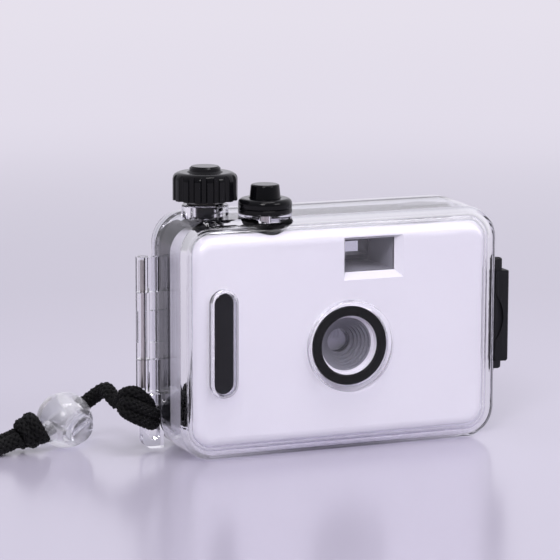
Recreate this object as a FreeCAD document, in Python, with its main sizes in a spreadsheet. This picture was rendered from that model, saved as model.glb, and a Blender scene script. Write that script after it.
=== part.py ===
import FreeCAD, Part
import math
import os
import Sketcher

# A compact film camera in its clear diving case, with a wrist strap.
# Frame: X to the viewer's right, Y towards the back, Z up, in millimetres.
# The origin lies on the flat underside of the case, in its middle plane.

doc = FreeCAD.newDocument("FilmCamera")
sheet = doc.addObject("Spreadsheet::Sheet", "Sizes")
Vector = FreeCAD.Vector
Rotation = FreeCAD.Rotation
sheet_rows = []
cut_volumes = []
pieces = []


class Size:
    """A number of the model together with the sheet formula that gives it."""

    def __init__(self, value, formula):
        self.value = value
        self.formula = formula

    def __add__(self, other):
        return joined(self, "+", other, value_of(self) + value_of(other))

    def __radd__(self, other):
        return joined(other, "+", self, value_of(other) + value_of(self))

    def __sub__(self, other):
        return joined(self, "-", other, value_of(self) - value_of(other))

    def __rsub__(self, other):
        return joined(other, "-", self, value_of(other) - value_of(self))

    def __mul__(self, other):
        return joined(self, "*", other, value_of(self) * value_of(other))

    def __rmul__(self, other):
        return joined(other, "*", self, value_of(other) * value_of(self))

    def __truediv__(self, other):
        return joined(self, "/", other, value_of(self) / value_of(other))

    def __neg__(self):
        return joined(0, "-", self, -value_of(self))


def value_of(number):
    return number.value if isinstance(number, Size) else float(number)


def formula_of(number):
    return number.formula if isinstance(number, Size) else repr(float(number))


def joined(left, sign, right, value):
    return Size(value, "(" + formula_of(left) + " " + sign + " " + formula_of(right) + ")")


def size(alias, value, note):
    """Writes a driving dimension into the sheet and returns it."""
    row = len(sheet_rows) + 1
    sheet_rows.append(alias)
    sheet.set("A" + str(row), note)
    sheet.set("B" + str(row), str(value))
    sheet.setAlias("B" + str(row), alias)
    return Size(float(value), "Sizes." + alias)


def bind(thing, name, number):
    """Ties a property of an object to a formula of the sheet."""
    thing.setExpression(name, formula_of(number))


def place(thing, x=0, y=0, z=0, rotation=None):
    base = Vector(value_of(x), value_of(y), value_of(z))
    thing.Placement = FreeCAD.Placement(base, rotation or Rotation())
    for axis, number in (("x", x), ("y", y), ("z", z)):
        if isinstance(number, Size):
            bind(thing, "Placement.Base." + axis, number)


def new_body(name, x=0, y=0, z=0, rotation=None):
    """Starts a named piece of the camera."""
    body = doc.addObject("PartDesign::Body", name)
    body.Label = name
    place(body, x, y, z, rotation)
    pieces.append(body)
    return body


def plane_of(body, role):
    for feature in body.Origin.OriginFeatures:
        if feature.Role == role:
            return feature
    raise ValueError("no plane " + role)


def sketch_on(body, role, offset=0):
    """A sketch on one of the body's own planes, moved along its normal."""
    sketch = body.newObject("Sketcher::SketchObject", body.Label + "_sketch")
    sketch.AttachmentSupport = [(plane_of(body, role), "")]
    sketch.MapMode = "FlatFace"
    sketch.AttachmentOffset = FreeCAD.Placement(Vector(0, 0, value_of(offset)), Rotation())
    if isinstance(offset, Size):
        bind(sketch, "AttachmentOffset.Base.z", offset)
    return sketch


def front_sketch(body, y=0):
    """A sketch seen from the front, whose normal points to the front, -Y."""
    return sketch_on(body, "XZ_Plane", -y if isinstance(y, Size) else -float(y))


def top_sketch(body, z=0):
    """A sketch seen from above, whose normal points up."""
    return sketch_on(body, "XY_Plane", z)


def pin(sketch, geometry, point, x, y):
    """Holds one point of a sketch at formulas of the sheet."""
    for kind, number in (("DistanceX", x), ("DistanceY", y)):
        if not isinstance(number, Size) and float(number) == 0.0:
            axis = -2 if kind == "DistanceX" else -1
            sketch.addConstraint(Sketcher.Constraint("PointOnObject", geometry, point, axis))
            continue
        rule = Sketcher.Constraint(kind, -1, 1, geometry, point, value_of(number))
        index = sketch.addConstraint(rule)
        bind(sketch, "Constraints[" + str(index) + "]", number)


def arc_between(start, end, radius, turn):
    """The short arc from start to end, turning left (1) or right (-1)."""
    middle = (start + end) * 0.5
    chord = end - start
    half = chord.Length / 2
    rise = math.sqrt(max(radius * radius - half * half, 0.0))
    side = Vector(-chord.y, chord.x, 0).normalize()
    centre = middle + side * rise * turn
    first = math.atan2(start.y - centre.y, start.x - centre.x)
    last = math.atan2(end.y - centre.y, end.x - centre.x)
    circle = Part.Circle(centre, Vector(0, 0, 1), radius)
    if turn > 0:
        return Part.ArcOfCircle(circle, first, last)
    return Part.ArcOfCircle(circle, last, first)


def outline(sketch, steps):
    """A closed outline of lines and arcs.

    Each step is (x, y) for a line to the next point, or (x, y, radius, turn)
    for an arc to the next point.
    """
    count = len(steps)
    points = [Vector(value_of(step[0]), value_of(step[1]), 0) for step in steps]
    first_index = sketch.GeometryCount
    ends = []
    for number, step in enumerate(steps):
        start = points[number]
        end = points[(number + 1) % count]
        if len(step) == 2:
            sketch.addGeometry(Part.LineSegment(start, end), False)
            ends.append((1, 2))
        else:
            sketch.addGeometry(arc_between(start, end, value_of(step[2]), step[3]), False)
            ends.append((1, 2) if step[3] > 0 else (2, 1))
    for number, step in enumerate(steps):
        here = first_index + number
        following = first_index + (number + 1) % count
        rule = Sketcher.Constraint("Coincident", here, ends[number][1], following,
                                   ends[(number + 1) % count][0])
        sketch.addConstraint(rule)
    for number, step in enumerate(steps):
        pin(sketch, first_index + number, ends[number][0], step[0], step[1])
        if len(step) > 2:
            rule = Sketcher.Constraint("Radius", first_index + number, value_of(step[2]))
            index = sketch.addConstraint(rule)
            bind(sketch, "Constraints[" + str(index) + "]", step[2])


def rectangle(sketch, left, right, low, high):
    outline(sketch, [(left, low), (right, low), (right, high), (left, high)])


def rounded(sketch, left, right, low, high, radius):
    """A rectangle with four equal rounded corners."""
    outline(sketch, [
        (left + radius, low), (right - radius, low, radius, 1),
        (right, low + radius), (right, high - radius, radius, 1),
        (right - radius, high), (left + radius, high, radius, 1),
        (left, high - radius), (left, low + radius, radius, 1)])


def capsule(sketch, x, y, radius, height):
    """An upright slot outline with round ends, made of quarter arcs."""
    low = y - height / 2
    high = y + height / 2
    outline(sketch, [
        (x + radius, low + radius), (x + radius, high - radius, radius, 1),
        (x, high, radius, 1), (x - radius, high - radius),
        (x - radius, low + radius, radius, 1), (x, low, radius, 1)])


def ring_mark(sketch, x, y, radius):
    """A full circle in a sketch."""
    centre = Vector(value_of(x), value_of(y), 0)
    circle = Part.Circle(centre, Vector(0, 0, 1), value_of(radius))
    geometry = sketch.addGeometry(circle, False)
    pin(sketch, geometry, 3, x, y)
    index = sketch.addConstraint(Sketcher.Constraint("Radius", geometry, value_of(radius)))
    bind(sketch, "Constraints[" + str(index) + "]", radius)


def pad(body, sketch, length, reverse=False):
    feature = body.newObject("PartDesign::Pad", body.Label + "_pad")
    feature.Profile = sketch
    feature.Reversed = reverse
    bind(feature, "Length", length)
    return feature


def pocket(body, sketch, length, reverse=False):
    """Cuts a sketch into the body and notes the volume before the cut."""
    doc.recompute()
    before = body.Shape.Volume
    feature = body.newObject("PartDesign::Pocket", body.Label + "_pocket")
    feature.Profile = sketch
    feature.Reversed = reverse
    bind(feature, "Length", length)
    doc.recompute()
    cut_volumes.append((feature.Name, before, body.Shape.Volume))
    return feature


def cut_forward(body, sketch, length):
    """A pocket from a front sketch towards -Y."""
    return pocket(body, sketch, length, True)


def turned(body, steps):
    """Turns a half outline (radius, height) about the body's own Z axis."""
    sketch = sketch_on(body, "XZ_Plane")
    outline(sketch, steps)
    feature = body.newObject("PartDesign::Revolution", body.Label + "_turned")
    feature.Profile = sketch
    feature.ReferenceAxis = (sketch, ["V_Axis"])
    feature.Angle = 360.0
    return feature


def loft(body, kind, first, second):
    feature = body.newObject("PartDesign::" + kind, body.Label + "_loft")
    feature.Profile = first
    feature.Sections = [second]
    feature.Ruled = True
    return feature


def edges_where(body, test):
    """Names of the body's edges whose every vertex passes the test."""
    doc.recompute()
    names = []
    for number, edge in enumerate(body.Tip.Shape.Edges):
        spots = [vertex.Point for vertex in edge.Vertexes]
        spots.append(edge.valueAt((edge.FirstParameter + edge.LastParameter) / 2))
        if all(test(spot) for spot in spots):
            names.append("Edge" + str(number + 1))
    if not names:
        raise ValueError("no edge found on " + body.Label)
    return names


def near(value, target, reach=0.02):
    return abs(value - value_of(target)) < reach


def rounding(body, radius, test, kind="Fillet"):
    """Fillets or chamfers the edges that pass the test."""
    names = edges_where(body, test)
    base = body.Tip
    feature = body.newObject("PartDesign::" + kind, body.Label + "_" + kind.lower())
    feature.Base = (base, names)
    bind(feature, "Radius" if kind == "Fillet" else "Size", radius)
    doc.recompute()
    return feature


def pattern_round(body, feature, count):
    """Repeats a feature about the body's own Z axis."""
    ring = body.newObject("PartDesign::PolarPattern", body.Label + "_ring")
    ring.Originals = [feature]
    ring.Axis = (plane_of(body, "Z_Axis"), [""])
    ring.Angle = 360.0
    bind(ring, "Occurrences", count)
    body.Tip = ring
    return ring


# Driving sizes of the case
base_level = size("base_level", 0.0, "level of the flat underside")
size_latch_corner = size("latch_corner", 0.4, "corners of the latch base")
size_lever_edge = size("lever_edge", 0.6, "edges of the latch lever")
size_scoop_radius = size("scoop_radius", 13.9, "round finger scoop in the lever's front end")
size_scoop_depth = size("scoop_depth", 2.8, "depth of that scoop")
size_scoop_reach = size("scoop_reach", 3.3, "width of that scoop from the case side")
size_ear_edge = size("ear_edge", 0.8, "rounded ends of the latch ears")
size_nub_height = size("nub_height", 0.7, "height of a nub on the lever")
case_width = size("case_width", 112.0, "width of the case at its seam")
case_height = size("case_height", 78.6, "height of the case at its seam")
case_front = size("case_front", 19.8, "front face ahead of the origin")
case_back = size("case_back", 17.2, "back face behind the origin")
seam_y = size("seam_y", 7.0, "seam plane behind the origin")
seam_gap = size("seam_gap", 0.3, "gap between the two shells")
case_corner = size("case_corner", 11.0, "corner radius of the case")
case_edge = size("case_edge", 6.0, "rounding of the front and back edges")
case_wall = size("case_wall", 2.6, "side wall of the case")
case_window = size("case_window", 2.0, "front and back wall of the case")
case_draft = size("case_draft", 0.6, "how far the front shell narrows")
back_draft = size("back_draft", 0.3, "how far the rear shell narrows")
inner_edge = size("inner_edge", 3.4, "rounding inside the front and back edges")
rib_height = size("rib_height", 0.45, "height of the locating ribs")
rib_width = size("rib_width", 2.0, "width of the locating ribs")
rib_spacing = size("rib_spacing", 62.0, "spacing of the locating ribs")
rib_length = size("rib_length", 16.0, "length of the locating ribs")

# Lens port, grip blister and bosses of the front shell
lens_x = size("lens_x", 1.0, "lens axis to the right of the middle")
lens_z = size("lens_z", 35.4, "lens axis above the base")
port_radius = size("port_radius", 15.0, "outside of the lens port")
port_bore = size("port_bore", 13.5, "inside of the lens port")
port_height = size("port_height", 2.6, "how far the port stands proud")
port_window = size("port_window", 1.9, "thickness of the port's window")
port_edge = size("port_edge", 0.9, "rounding of the port's rim")
grip_x = size("grip_x", -43.0, "centre of the grip")
grip_z = size("grip_z", 39.1, "centre of the grip above the base")
grip_radius = size("grip_radius", 3.5, "half width of the grip bar")
grip_height = size("grip_height", 33.0, "height of the grip bar")
grip_gap = size("grip_gap", 0.2, "gap between the grip bar and its blister")
blister_wall = size("blister_wall", 1.0, "wall of the grip blister")
blister_height = size("blister_height", 2.9, "how far the blister stands proud")
blister_edge = size("blister_edge", 1.8, "rounding of the blister")
knob_x = size("knob_x", -42.1, "axis of the winding knob")
knob_y = size("knob_y", -1.0, "axis of the winding knob")
boss_radius = size("boss_radius", 7.65, "clear boss under the winding knob")
boss_top = size("boss_top", 81.6, "top of that boss")
boss_bore = size("boss_bore", 4.8, "bore of that boss")
boss_edge = size("boss_edge", 0.5, "rounding of the bosses")
button_x = size("button_x", -24.4, "axis of the shutter button")
button_y = size("button_y", -9.0, "axis of the shutter button")
button_boss = size("button_boss", 8.75, "clear boss under the shutter button")
button_boss_top = size("button_boss_top", 79.0, "top of that boss")
plunger_radius = size("plunger_radius", 2.0, "shutter plunger")

# Hinge, lug and latch of the case
hinge_x = size("hinge_x", -60.8, "axis of the case hinge")
hinge_radius = size("hinge_radius", 2.3, "hinge knuckles")
hinge_pin_radius = size("hinge_pin_radius", 0.9, "hinge pin")
hinge_low = size("hinge_low", 19.6, "underside of the lowest knuckle")
hinge_first = size("hinge_first", 30.4, "seam of the lowest and middle knuckles")
hinge_second = size("hinge_second", 52.6, "seam of the middle and upper knuckles")
hinge_high = size("hinge_high", 64.4, "top of the upper knuckle")
knuckle_gap = size("knuckle_gap", 0.15, "half gap between knuckles")
arm_low = size("arm_low", 35.5, "lower edge of the middle knuckle's arm")
arm_high = size("arm_high", 46.0, "upper edge of the middle knuckle's arm")
pin_gap = size("pin_gap", 0.05, "running clearance of pins and shafts")
lug_reach = size("lug_reach", 6.3, "how far the strap lug stands out")
lug_low = size("lug_low", 1.0, "underside of the strap lug")
lug_high = size("lug_high", 18.9, "top of the strap lug")
lug_front = size("lug_front", 3.4, "front face of the strap lug")
lug_thick = size("lug_thick", 3.2, "thickness of the strap lug")
lug_bar = size("lug_bar", 2.2, "outer bar of the strap lug")
lug_rim = size("lug_rim", 2.8, "rim above and below the lug's hole")
lug_corner = size("lug_corner", 3.6, "outer corners of the strap lug")
latch_low = size("latch_low", 21.3, "underside of the latch base")
latch_high = size("latch_high", 60.2, "top of the latch base")
lever_low = size("lever_low", 24.6, "underside of the latch lever")
lever_high = size("lever_high", 55.4, "top of the latch lever")
latch_plate = size("latch_plate", 0.85, "thickness of the latch base plate")
latch_front = size("latch_front", 2.2, "latch base ahead of its pin")
latch_length = size("latch_length", 15.6, "latch base behind its pin")
latch_pin_x = size("latch_pin_x", 2.7, "latch pin outside the case wall")
latch_pin_y = size("latch_pin_y", -10.4, "latch pin along the case")
latch_pin_radius = size("latch_pin_radius", 0.9, "latch pin")
latch_seat = size("latch_seat", 0.05, "gap between latch base and case")
latch_ear = size("latch_ear", 1.7, "radius of the latch base ears")
lever_reach = size("lever_reach", 23.4, "latch lever behind its pin")
lever_face = size("lever_face", 3.7, "outer face of the lever from its pin")
lever_gap = size("lever_gap", 0.1, "gap between lever, base plate and bead")
bead_height = size("bead_height", 1.1, "latch bead on the rear shell")
bead_y = size("bead_y", 10.4, "middle of the latch bead")
bead_width = size("bead_width", 2.0, "width of the latch bead")
gasket_lip = size("gasket_lip", 0.7, "rim outside the gasket groove")
gasket_width = size("gasket_width", 1.2, "width of the gasket")
groove_depth = size("groove_depth", 1.2, "depth of the gasket groove")
gasket_proud = size("gasket_proud", 0.25, "gasket ahead of the rear rim")
gasket_gap = size("gasket_gap", 0.02, "gap between gasket and groove")

# Winding knob, shaft and gland
knob_radius = size("knob_radius", 10.55, "winding knob")
knob_low = size("knob_low", 83.2, "underside of the winding knob")
knob_high = size("knob_high", 92.2, "shoulder of the winding knob")
knob_shoulder = size("knob_shoulder", 2.4, "rounding of the knob's shoulder")
flute_radius = size("flute_radius", 1.15, "flutes of the winding knob")
flute_depth = size("flute_depth", 0.9, "depth of the flutes")
flute_count = size("flute_count", 16, "number of flutes")
cap_radius = size("cap_radius", 5.1, "cap of the winding knob")
cap_height = size("cap_height", 1.9, "cap above the knob's shoulder")
cap_seat = size("cap_seat", 1.0, "cap inside the knob")
neck_radius = size("neck_radius", 3.4, "neck under the winding knob")
neck_gap = size("neck_gap", 0.3, "neck above the gland")
shaft_radius = size("shaft_radius", 2.0, "winding shaft")
shaft_top = size("shaft_top", 90.2, "top of the winding shaft")
gland_flange = size("gland_flange", 6.0, "flange of the shaft gland")
gland_flange_height = size("gland_flange_height", 0.6, "thickness of that flange")
gland_low = size("gland_low", 76.1, "lower end of the shaft gland")
seal_wire = size("seal_wire", 0.6, "section radius of the seal rings")
tongue_width = size("tongue_width", 1.2, "driving tongue of the shaft")
tongue_length = size("tongue_length", 3.4, "length of the driving tongue")
tongue_depth = size("tongue_depth", 0.7, "tongue inside the dial's slot")
drive_gap = size("drive_gap", 0.2, "gap between shaft and dial")
slot_gap = size("slot_gap", 0.15, "gap round the tongue in its slot")

# Shutter button of the case
collar_radius = size("collar_radius", 8.8, "collar of the shutter button")
collar_height = size("collar_height", 4.9, "height of the collar")
collar_edge = size("collar_edge", 1.7, "rounding of the collar")
collar_groove_z = size("collar_groove_z", 1.7, "groove above the collar's foot")
collar_groove = size("collar_groove", 0.25, "depth of the collar's groove")
button_low_radius = size("button_low_radius", 5.1, "foot of the shutter button")
button_top_radius = size("button_top_radius", 4.7, "top of the shutter button")
button_edge = size("button_edge", 0.7, "rounding of the button's top")
button_top = size("button_top", 88.4, "top of the shutter button")
button_travel = size("button_travel", 2.2, "travel of the shutter button")
button_gap = size("button_gap", 0.15, "gap between button and collar")
press_gap = size("press_gap", 0.2, "gap between plunger and camera button")
spring_outer = size("spring_outer", 3.6, "outside of the button spring")
spring_wall = size("spring_wall", 0.5, "wire of the button spring")
plunger_seal_wire = size("plunger_seal_wire", 0.39, "section radius of the plunger's seal")

# Camera body
camera_width = size("camera_width", 105.2, "width of the camera")
camera_low = size("camera_low", 3.2, "underside of the camera")
camera_high = size("camera_high", 73.6, "top of the camera")
camera_front = size("camera_front", 17.5, "camera front ahead of the origin")
camera_corner = size("camera_corner", 7.5, "corner radius of the camera")
camera_edge = size("camera_edge", 4.5, "rounding of the camera's front edge")
cover_wall = size("cover_wall", 1.8, "wall of the front cover")
cover_back = size("cover_back", 1.5, "rear rim of the cover ahead of the origin")
joint_gap = size("joint_gap", 0.1, "gap between camera mouldings")
frame_back = size("frame_back", 11.5, "rear face of the film frame")
frame_wall = size("frame_wall", 1.8, "rim of the film frame")
frame_web = size("frame_web", 6.0, "thickness of the frame's film wall")
lens_boss = size("lens_boss", 13.1, "white boss round the lens")
lens_boss_height = size("lens_boss_height", 2.0, "height of that boss")
lens_opening = size("lens_opening", 9.8, "opening of the lens ring")
lens_ledge = size("lens_ledge", 8.8, "opening of the white ledge")
ledge_depth = size("ledge_depth", 0.3, "ledge behind the camera front")
ring_height = size("ring_height", 0.8, "thickness of the black lens ring")
cone_mouth = size("cone_mouth", 8.6, "mouth of the lens cone")
cone_depth = size("cone_depth", 6.4, "depth of the lens cone")
cone_length = size("cone_length", 10.2, "length of the lens cone")
cone_steps = 5
glass_radius = size("glass_radius", 4.2, "lens element")
glass_bulge = size("glass_bulge", 1.1, "bulge of the lens element")
glass_rim = size("glass_rim", 0.8, "edge thickness of the lens element")
glass_seat = size("glass_seat", 0.05, "gap round the lens elements")
window_left = size("window_left", 1.0, "left edge of the viewfinder")
window_width = size("window_width", 17.5, "width of the viewfinder")
window_low = size("window_low", 58.9, "lower edge of the viewfinder")
window_height = size("window_height", 10.7, "height of the viewfinder")
window_slope_side = size("window_slope_side", 2.7, "slope right of the viewfinder")
window_slope_low = size("window_slope_low", 2.4, "slope below the viewfinder")
window_slope_small = size("window_slope_small", 1.1, "slope left of and above it")
window_glass = size("window_glass", 1.0, "thickness of the viewfinder glasses")
tunnel_wall = size("tunnel_wall", 0.8, "wall of the viewfinder tunnel")
tunnel_length = size("tunnel_length", 21.0, "length of the viewfinder tunnel")
eyepiece_width = size("eyepiece_width", 10.8, "width of the eyepiece")
eyepiece_height = size("eyepiece_height", 6.8, "height of the eyepiece")
post_radius = size("post_radius", 2.0, "screw posts of the front cover")
screw_radius = size("screw_radius", 0.8, "cover screws")
screw_head = size("screw_head", 1.5, "heads of the cover screws")
screw_head_height = size("screw_head_height", 1.0, "height of those heads")
screw_length = size("screw_length", 9.0, "length of the cover screws")
cam_button_radius = size("cam_button_radius", 6.7, "the camera's own button")
cam_button_top = size("cam_button_top", 75.35, "top of the camera's own button")
cam_button_height = size("cam_button_height", 2.9, "height of that button")
cam_button_gap = size("cam_button_gap", 0.15, "gap round that button")
stem_radius = size("stem_radius", 1.8, "stem of that button")
stem_length = size("stem_length", 8.0, "length of that stem")

# Film path
chamber_x = size("chamber_x", 36.0, "axis of the film chamber")
chamber_y = size("chamber_y", -1.3, "axis of the film chamber")
chamber_radius = size("chamber_radius", 13.1, "film chamber for a 25 mm cassette")
chamber_low = size("chamber_low", 11.5, "floor of the film chamber")
chamber_high = size("chamber_high", 62.0, "roof of the film chamber")
tower_wall = size("tower_wall", 1.2, "walls of the two towers")
spool_chamber = size("spool_chamber", 7.4, "take-up chamber")
spool_low = size("spool_low", 11.5, "floor of the take-up chamber")
spool_high = size("spool_high", 66.0, "roof of the take-up chamber")
gate_width = size("gate_width", 36.0, "width of the film gate")
gate_height = size("gate_height", 24.0, "height of the film gate")
channel_height = size("channel_height", 35.6, "height of the film channel")
channel_depth = size("channel_depth", 1.2, "depth of the film channel")
baffle_length = size("baffle_length", 10.6, "length of the light baffle")
baffle_wall = size("baffle_wall", 1.2, "wall of the light baffle")
sprocket_x = size("sprocket_x", 16.0, "sprocket axis right of the spool")
sprocket_y = size("sprocket_y", 5.12, "sprocket axis behind the spool")
sprocket_rim = size("sprocket_rim", 5.9, "toothed rims of the sprocket")
sprocket_core = size("sprocket_core", 3.4, "core of the sprocket")
sprocket_tooth = size("sprocket_tooth", 1.1, "height of the sprocket teeth")
sprocket_tooth_width = size("sprocket_tooth_width", 1.8, "width of the sprocket teeth")
sprocket_teeth = size("sprocket_teeth", 8, "teeth on a sprocket rim")
row_spacing = size("row_spacing", 28.2, "spacing of the perforation rows")
rim_thick = size("rim_thick", 2.0, "thickness of a toothed rim")
axle_radius = size("axle_radius", 1.2, "sprocket and idler axles")
gear_low = size("gear_low", 68.4, "underside of the gears")
gear_thick = size("gear_thick", 1.8, "thickness of the gears")
gear_root = size("gear_root", 5.1, "root radius of the large gears")
idler_root = size("idler_root", 2.3, "root radius of the idler gear")
gear_tooth = size("gear_tooth", 0.85, "tooth height of the gears")
gear_tooth_base = size("gear_tooth_base", 0.34, "half width of a tooth's foot")
gear_tooth_tip = size("gear_tooth_tip", 0.13, "half width of a tooth's tip")
gear_teeth = size("gear_teeth", 28, "teeth of the large gears")
idler_teeth = size("idler_teeth", 14, "teeth of the idler gear")
spool_core = size("spool_core", 4.4, "core of the take-up spool")
spool_flange = size("spool_flange", 7.0, "flanges of the take-up spool")
flange_thick = size("flange_thick", 1.2, "thickness of those flanges")
spool_gap = size("spool_gap", 0.3, "end gap of the take-up spool")
dial_radius = size("dial_radius", 7.8, "advance dial")
dial_low = size("dial_low", 73.75, "underside of the dials")
dial_height = size("dial_height", 1.6, "height of the advance dial")
counter_x = size("counter_x", -22.0, "axis of the frame counter")
counter_y = size("counter_y", 6.4, "axis of the frame counter")
counter_radius = size("counter_radius", 4.6, "frame counter dial")
counter_height = size("counter_height", 0.9, "height of the frame counter dial")
counter_foot = size("counter_foot", 2.2, "foot that holds the frame counter in the roof")
rewind_radius = size("rewind_radius", 9.0, "rewind knob")
rewind_height = size("rewind_height", 1.1, "height of the rewind knob")
crank_width = size("crank_width", 3.4, "width of the rewind crank")
crank_thick = size("crank_thick", 0.5, "thickness of the rewind crank")
fork_length = size("fork_length", 6.0, "rewind fork inside the chamber")
fork_radius = size("fork_radius", 2.6, "rewind fork")
door_gap = size("door_gap", 0.3, "gap between film frame and back door")
door_thick = size("door_thick", 2.8, "thickness of the back door")
door_edge = size("door_edge", 1.8, "rounding of the back door")
door_skin = size("door_skin", 1.4, "skin of the back door")
door_knuckle = size("door_knuckle", 1.1, "knuckles of the back door")
door_pin_radius = size("door_pin_radius", 0.6, "hinge pin of the back door")
door_knuckle_low = size("door_knuckle_low", 14.0, "lowest knuckle of the back door")
door_knuckle_first = size("door_knuckle_first", 25.0, "lower knuckle seam")
door_knuckle_second = size("door_knuckle_second", 52.0, "upper knuckle seam")
door_knuckle_high = size("door_knuckle_high", 63.0, "top knuckle of the back door")
plate_width = size("plate_width", 42.0, "width of the pressure plate")
plate_height = size("plate_height", 30.0, "height of the pressure plate")
plate_thick = size("plate_thick", 0.8, "thickness of the pressure plate")
spring_leaf = size("spring_leaf", 0.25, "thickness of the leaf spring")
catch_height = size("catch_height", 9.0, "height of the back door catch")
catch_width = size("catch_width", 4.0, "width of the back door catch")
catch_travel = size("catch_travel", 2.5, "travel of the back door catch")

# Shutter
board_y = size("board_y", 6.1, "shutter board ahead of the origin")
board_thick = size("board_thick", 0.9, "thickness of the shutter board")
board_width = size("board_width", 40.0, "width of the shutter board")
board_height = size("board_height", 33.0, "height of the shutter board")
aperture_radius = size("aperture_radius", 2.2, "aperture of the shutter board")
blade_gap = size("blade_gap", 0.3, "gap between blade and board")
blade_thick = size("blade_thick", 0.3, "thickness of the shutter blade")
blade_pivot_x = size("blade_pivot_x", -4.5, "blade pivot right of the lens axis")
blade_pivot_z = size("blade_pivot_z", 11.0, "blade pivot below the lens axis")
blade_width = size("blade_width", 3.4, "half width of the shutter blade")
pivot_radius = size("pivot_radius", 0.8, "pivots of the shutter")
lever_pivot_x = size("lever_pivot_x", 11.0, "lever pivot right of the button")
lever_drop = size("lever_drop", 3.35, "lever pivot below the stem")
lever_half = size("lever_half", 1.5, "half width of the release lever")
lever_thick = size("lever_thick", 2.8, "thickness of the release lever")
lever_tail_x = size("lever_tail_x", 8.6, "tail of the lever right of its pivot")
lever_tail_z = size("lever_tail_z", -10.4, "tail of the lever below its pivot")

# Strap
cord_radius = size("cord_radius", 2.6, "strap cord")
wrap_wire = size("wrap_wire", 1.72, "cord squeezed round the lug")
wrap_gap = size("wrap_gap", 0.12, "gap between the wraps and the lug")
toggle_radius = size("toggle_radius", 9.2, "ball of the cord toggle")
toggle_x = size("toggle_x", -84.0, "toggle on the table")
toggle_y = size("toggle_y", 19.4, "toggle on the table")
toggle_bore = size("toggle_bore", 5.1, "bore for the toggle's plunger")
toggle_plunger_radius = size("toggle_plunger_radius", 4.9, "plunger of the toggle")
toggle_stroke = size("toggle_stroke", 1.9, "stroke of the toggle's plunger")
toggle_floor = size("toggle_floor", 1.3, "floor of the toggle's bore")
cord_gap = size("cord_gap", 0.25, "gap between the cord and the toggle")
toggle_band = size("toggle_band", 0.8, "half height of the toggle's straight middle band")
coil_inner = size("coil_inner", 2.8, "inside of the toggle's spring")
coil_outer = size("coil_outer", 3.6, "outside of the toggle's spring")

# Top housing and small fixings
housing_low = size("housing_low", 57.6, "lower edge of the rear top housing")
housing_back = size("housing_back", 14.5, "rear face of that housing")
door_top = size("door_top", 57.3, "upper edge of the back door")
roof_hole = size("roof_hole", 1.8, "top wall of the film frame")
eyepiece_x = size("eyepiece_x", 13.6, "centre of the eyepiece")
eyepiece_z = size("eyepiece_z", 63.0, "centre of the eyepiece")
eyepiece_thick = size("eyepiece_thick", 1.6, "thickness of the eyepiece")
grip_front = size("grip_front", 21.0, "front face of the grip bar")
grip_edge = size("grip_edge", 1.2, "rounding of the grip bar")
bearing_half = size("bearing_half", 3.6, "half width of the sprocket bearings")
bearing_height = size("bearing_height", 2.6, "height of the sprocket bearings")
sprocket_pocket = size("sprocket_pocket", 7.5, "half width of the sprocket's slot")
board_screw_x = size("board_screw_x", 14.0, "board screws beside the lens axis")
board_screw_z = size("board_screw_z", 14.9, "board screws above and below it")
board_post = size("board_post", 1.6, "posts of the shutter board")
support_z = size("support_z", 61.1, "pivot of the release lever")
foot_room_depth = size("foot_room_depth", 1.5, "pocket round the counter's foot")
catch_thick = size("catch_thick", 1.5, "thickness of the door catch")
catch_corner = size("catch_corner", 0.5, "corners of the door catch")
catch_ridge = size("catch_ridge", 0.9, "ridge of the door catch")
plate_corner = size("plate_corner", 1.2, "corners of the pressure plate")
board_corner = size("board_corner", 1.0, "corners of the shutter board")
board_head = size("board_head", 0.8, "height of the board screws' heads")
board_shank = size("board_shank", 4.4, "length of the board screws' shanks")
leaf_half = size("leaf_half", 3.0, "half width of the pressure plate's leaf spring")
leaf_end = size("leaf_end", 17.0, "ends of the leaf spring from its middle")
leaf_foot = size("leaf_foot", 14.0, "feet of the leaf spring from its middle")
leaf_crown = size("leaf_crown", 6.0, "flat crown of the leaf spring from its middle")
leaf_bend = size("leaf_bend", 0.1, "thickening of the leaf spring in its bends")
blade_foot = size("blade_foot", 1.6, "shutter blade beside its pivot")
blade_tip = size("blade_tip", 0.6, "end of the blade's upper arm beside its pivot")
blade_rise = size("blade_rise", 7.4, "upper arm of the blade above its pivot")
dial_notch = size("dial_notch", 0.9, "notches round the winding dial")
fork_blade = size("fork_blade", 0.5, "half thickness of the rewind fork's blade")
film_slot = size("film_slot", 0.6, "half width of the spool's slot for the film")
tooth_foot = size("tooth_foot", 0.9, "half width of a sprocket tooth at its foot")
tooth_tip = size("tooth_tip", 0.5, "half width of a sprocket tooth at its tip")
cord_offset = size("cord_offset", 0.1, "play of the cord inside the toggle")
toggle_flat = size("toggle_flat", 8.0, "flat back of the toggle from its centre")
toggle_mouth = size("toggle_mouth", 6.9, "mouth of the toggle from its centre")
toggle_proud = size("toggle_proud", 9.4, "plunger face from the toggle's centre")
knot_half = size("knot_half", 3.6, "half length of the stopper knot")
knot_rope = size("knot_rope", 2.5, "strands of the stopper knot")
knot_coil = size("knot_coil", 2.9, "turns of the stopper knot")
hitch_ring = size("hitch_ring", 2.3, "bight of the hitch")
hitch_rope = size("hitch_rope", 2.1, "cord of that bight")
wrap_pitch = size("wrap_pitch", 3.5, "spacing of the wraps on the lug")
wrap_low = size("wrap_low", 7.2, "lower wrap above the base")

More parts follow.
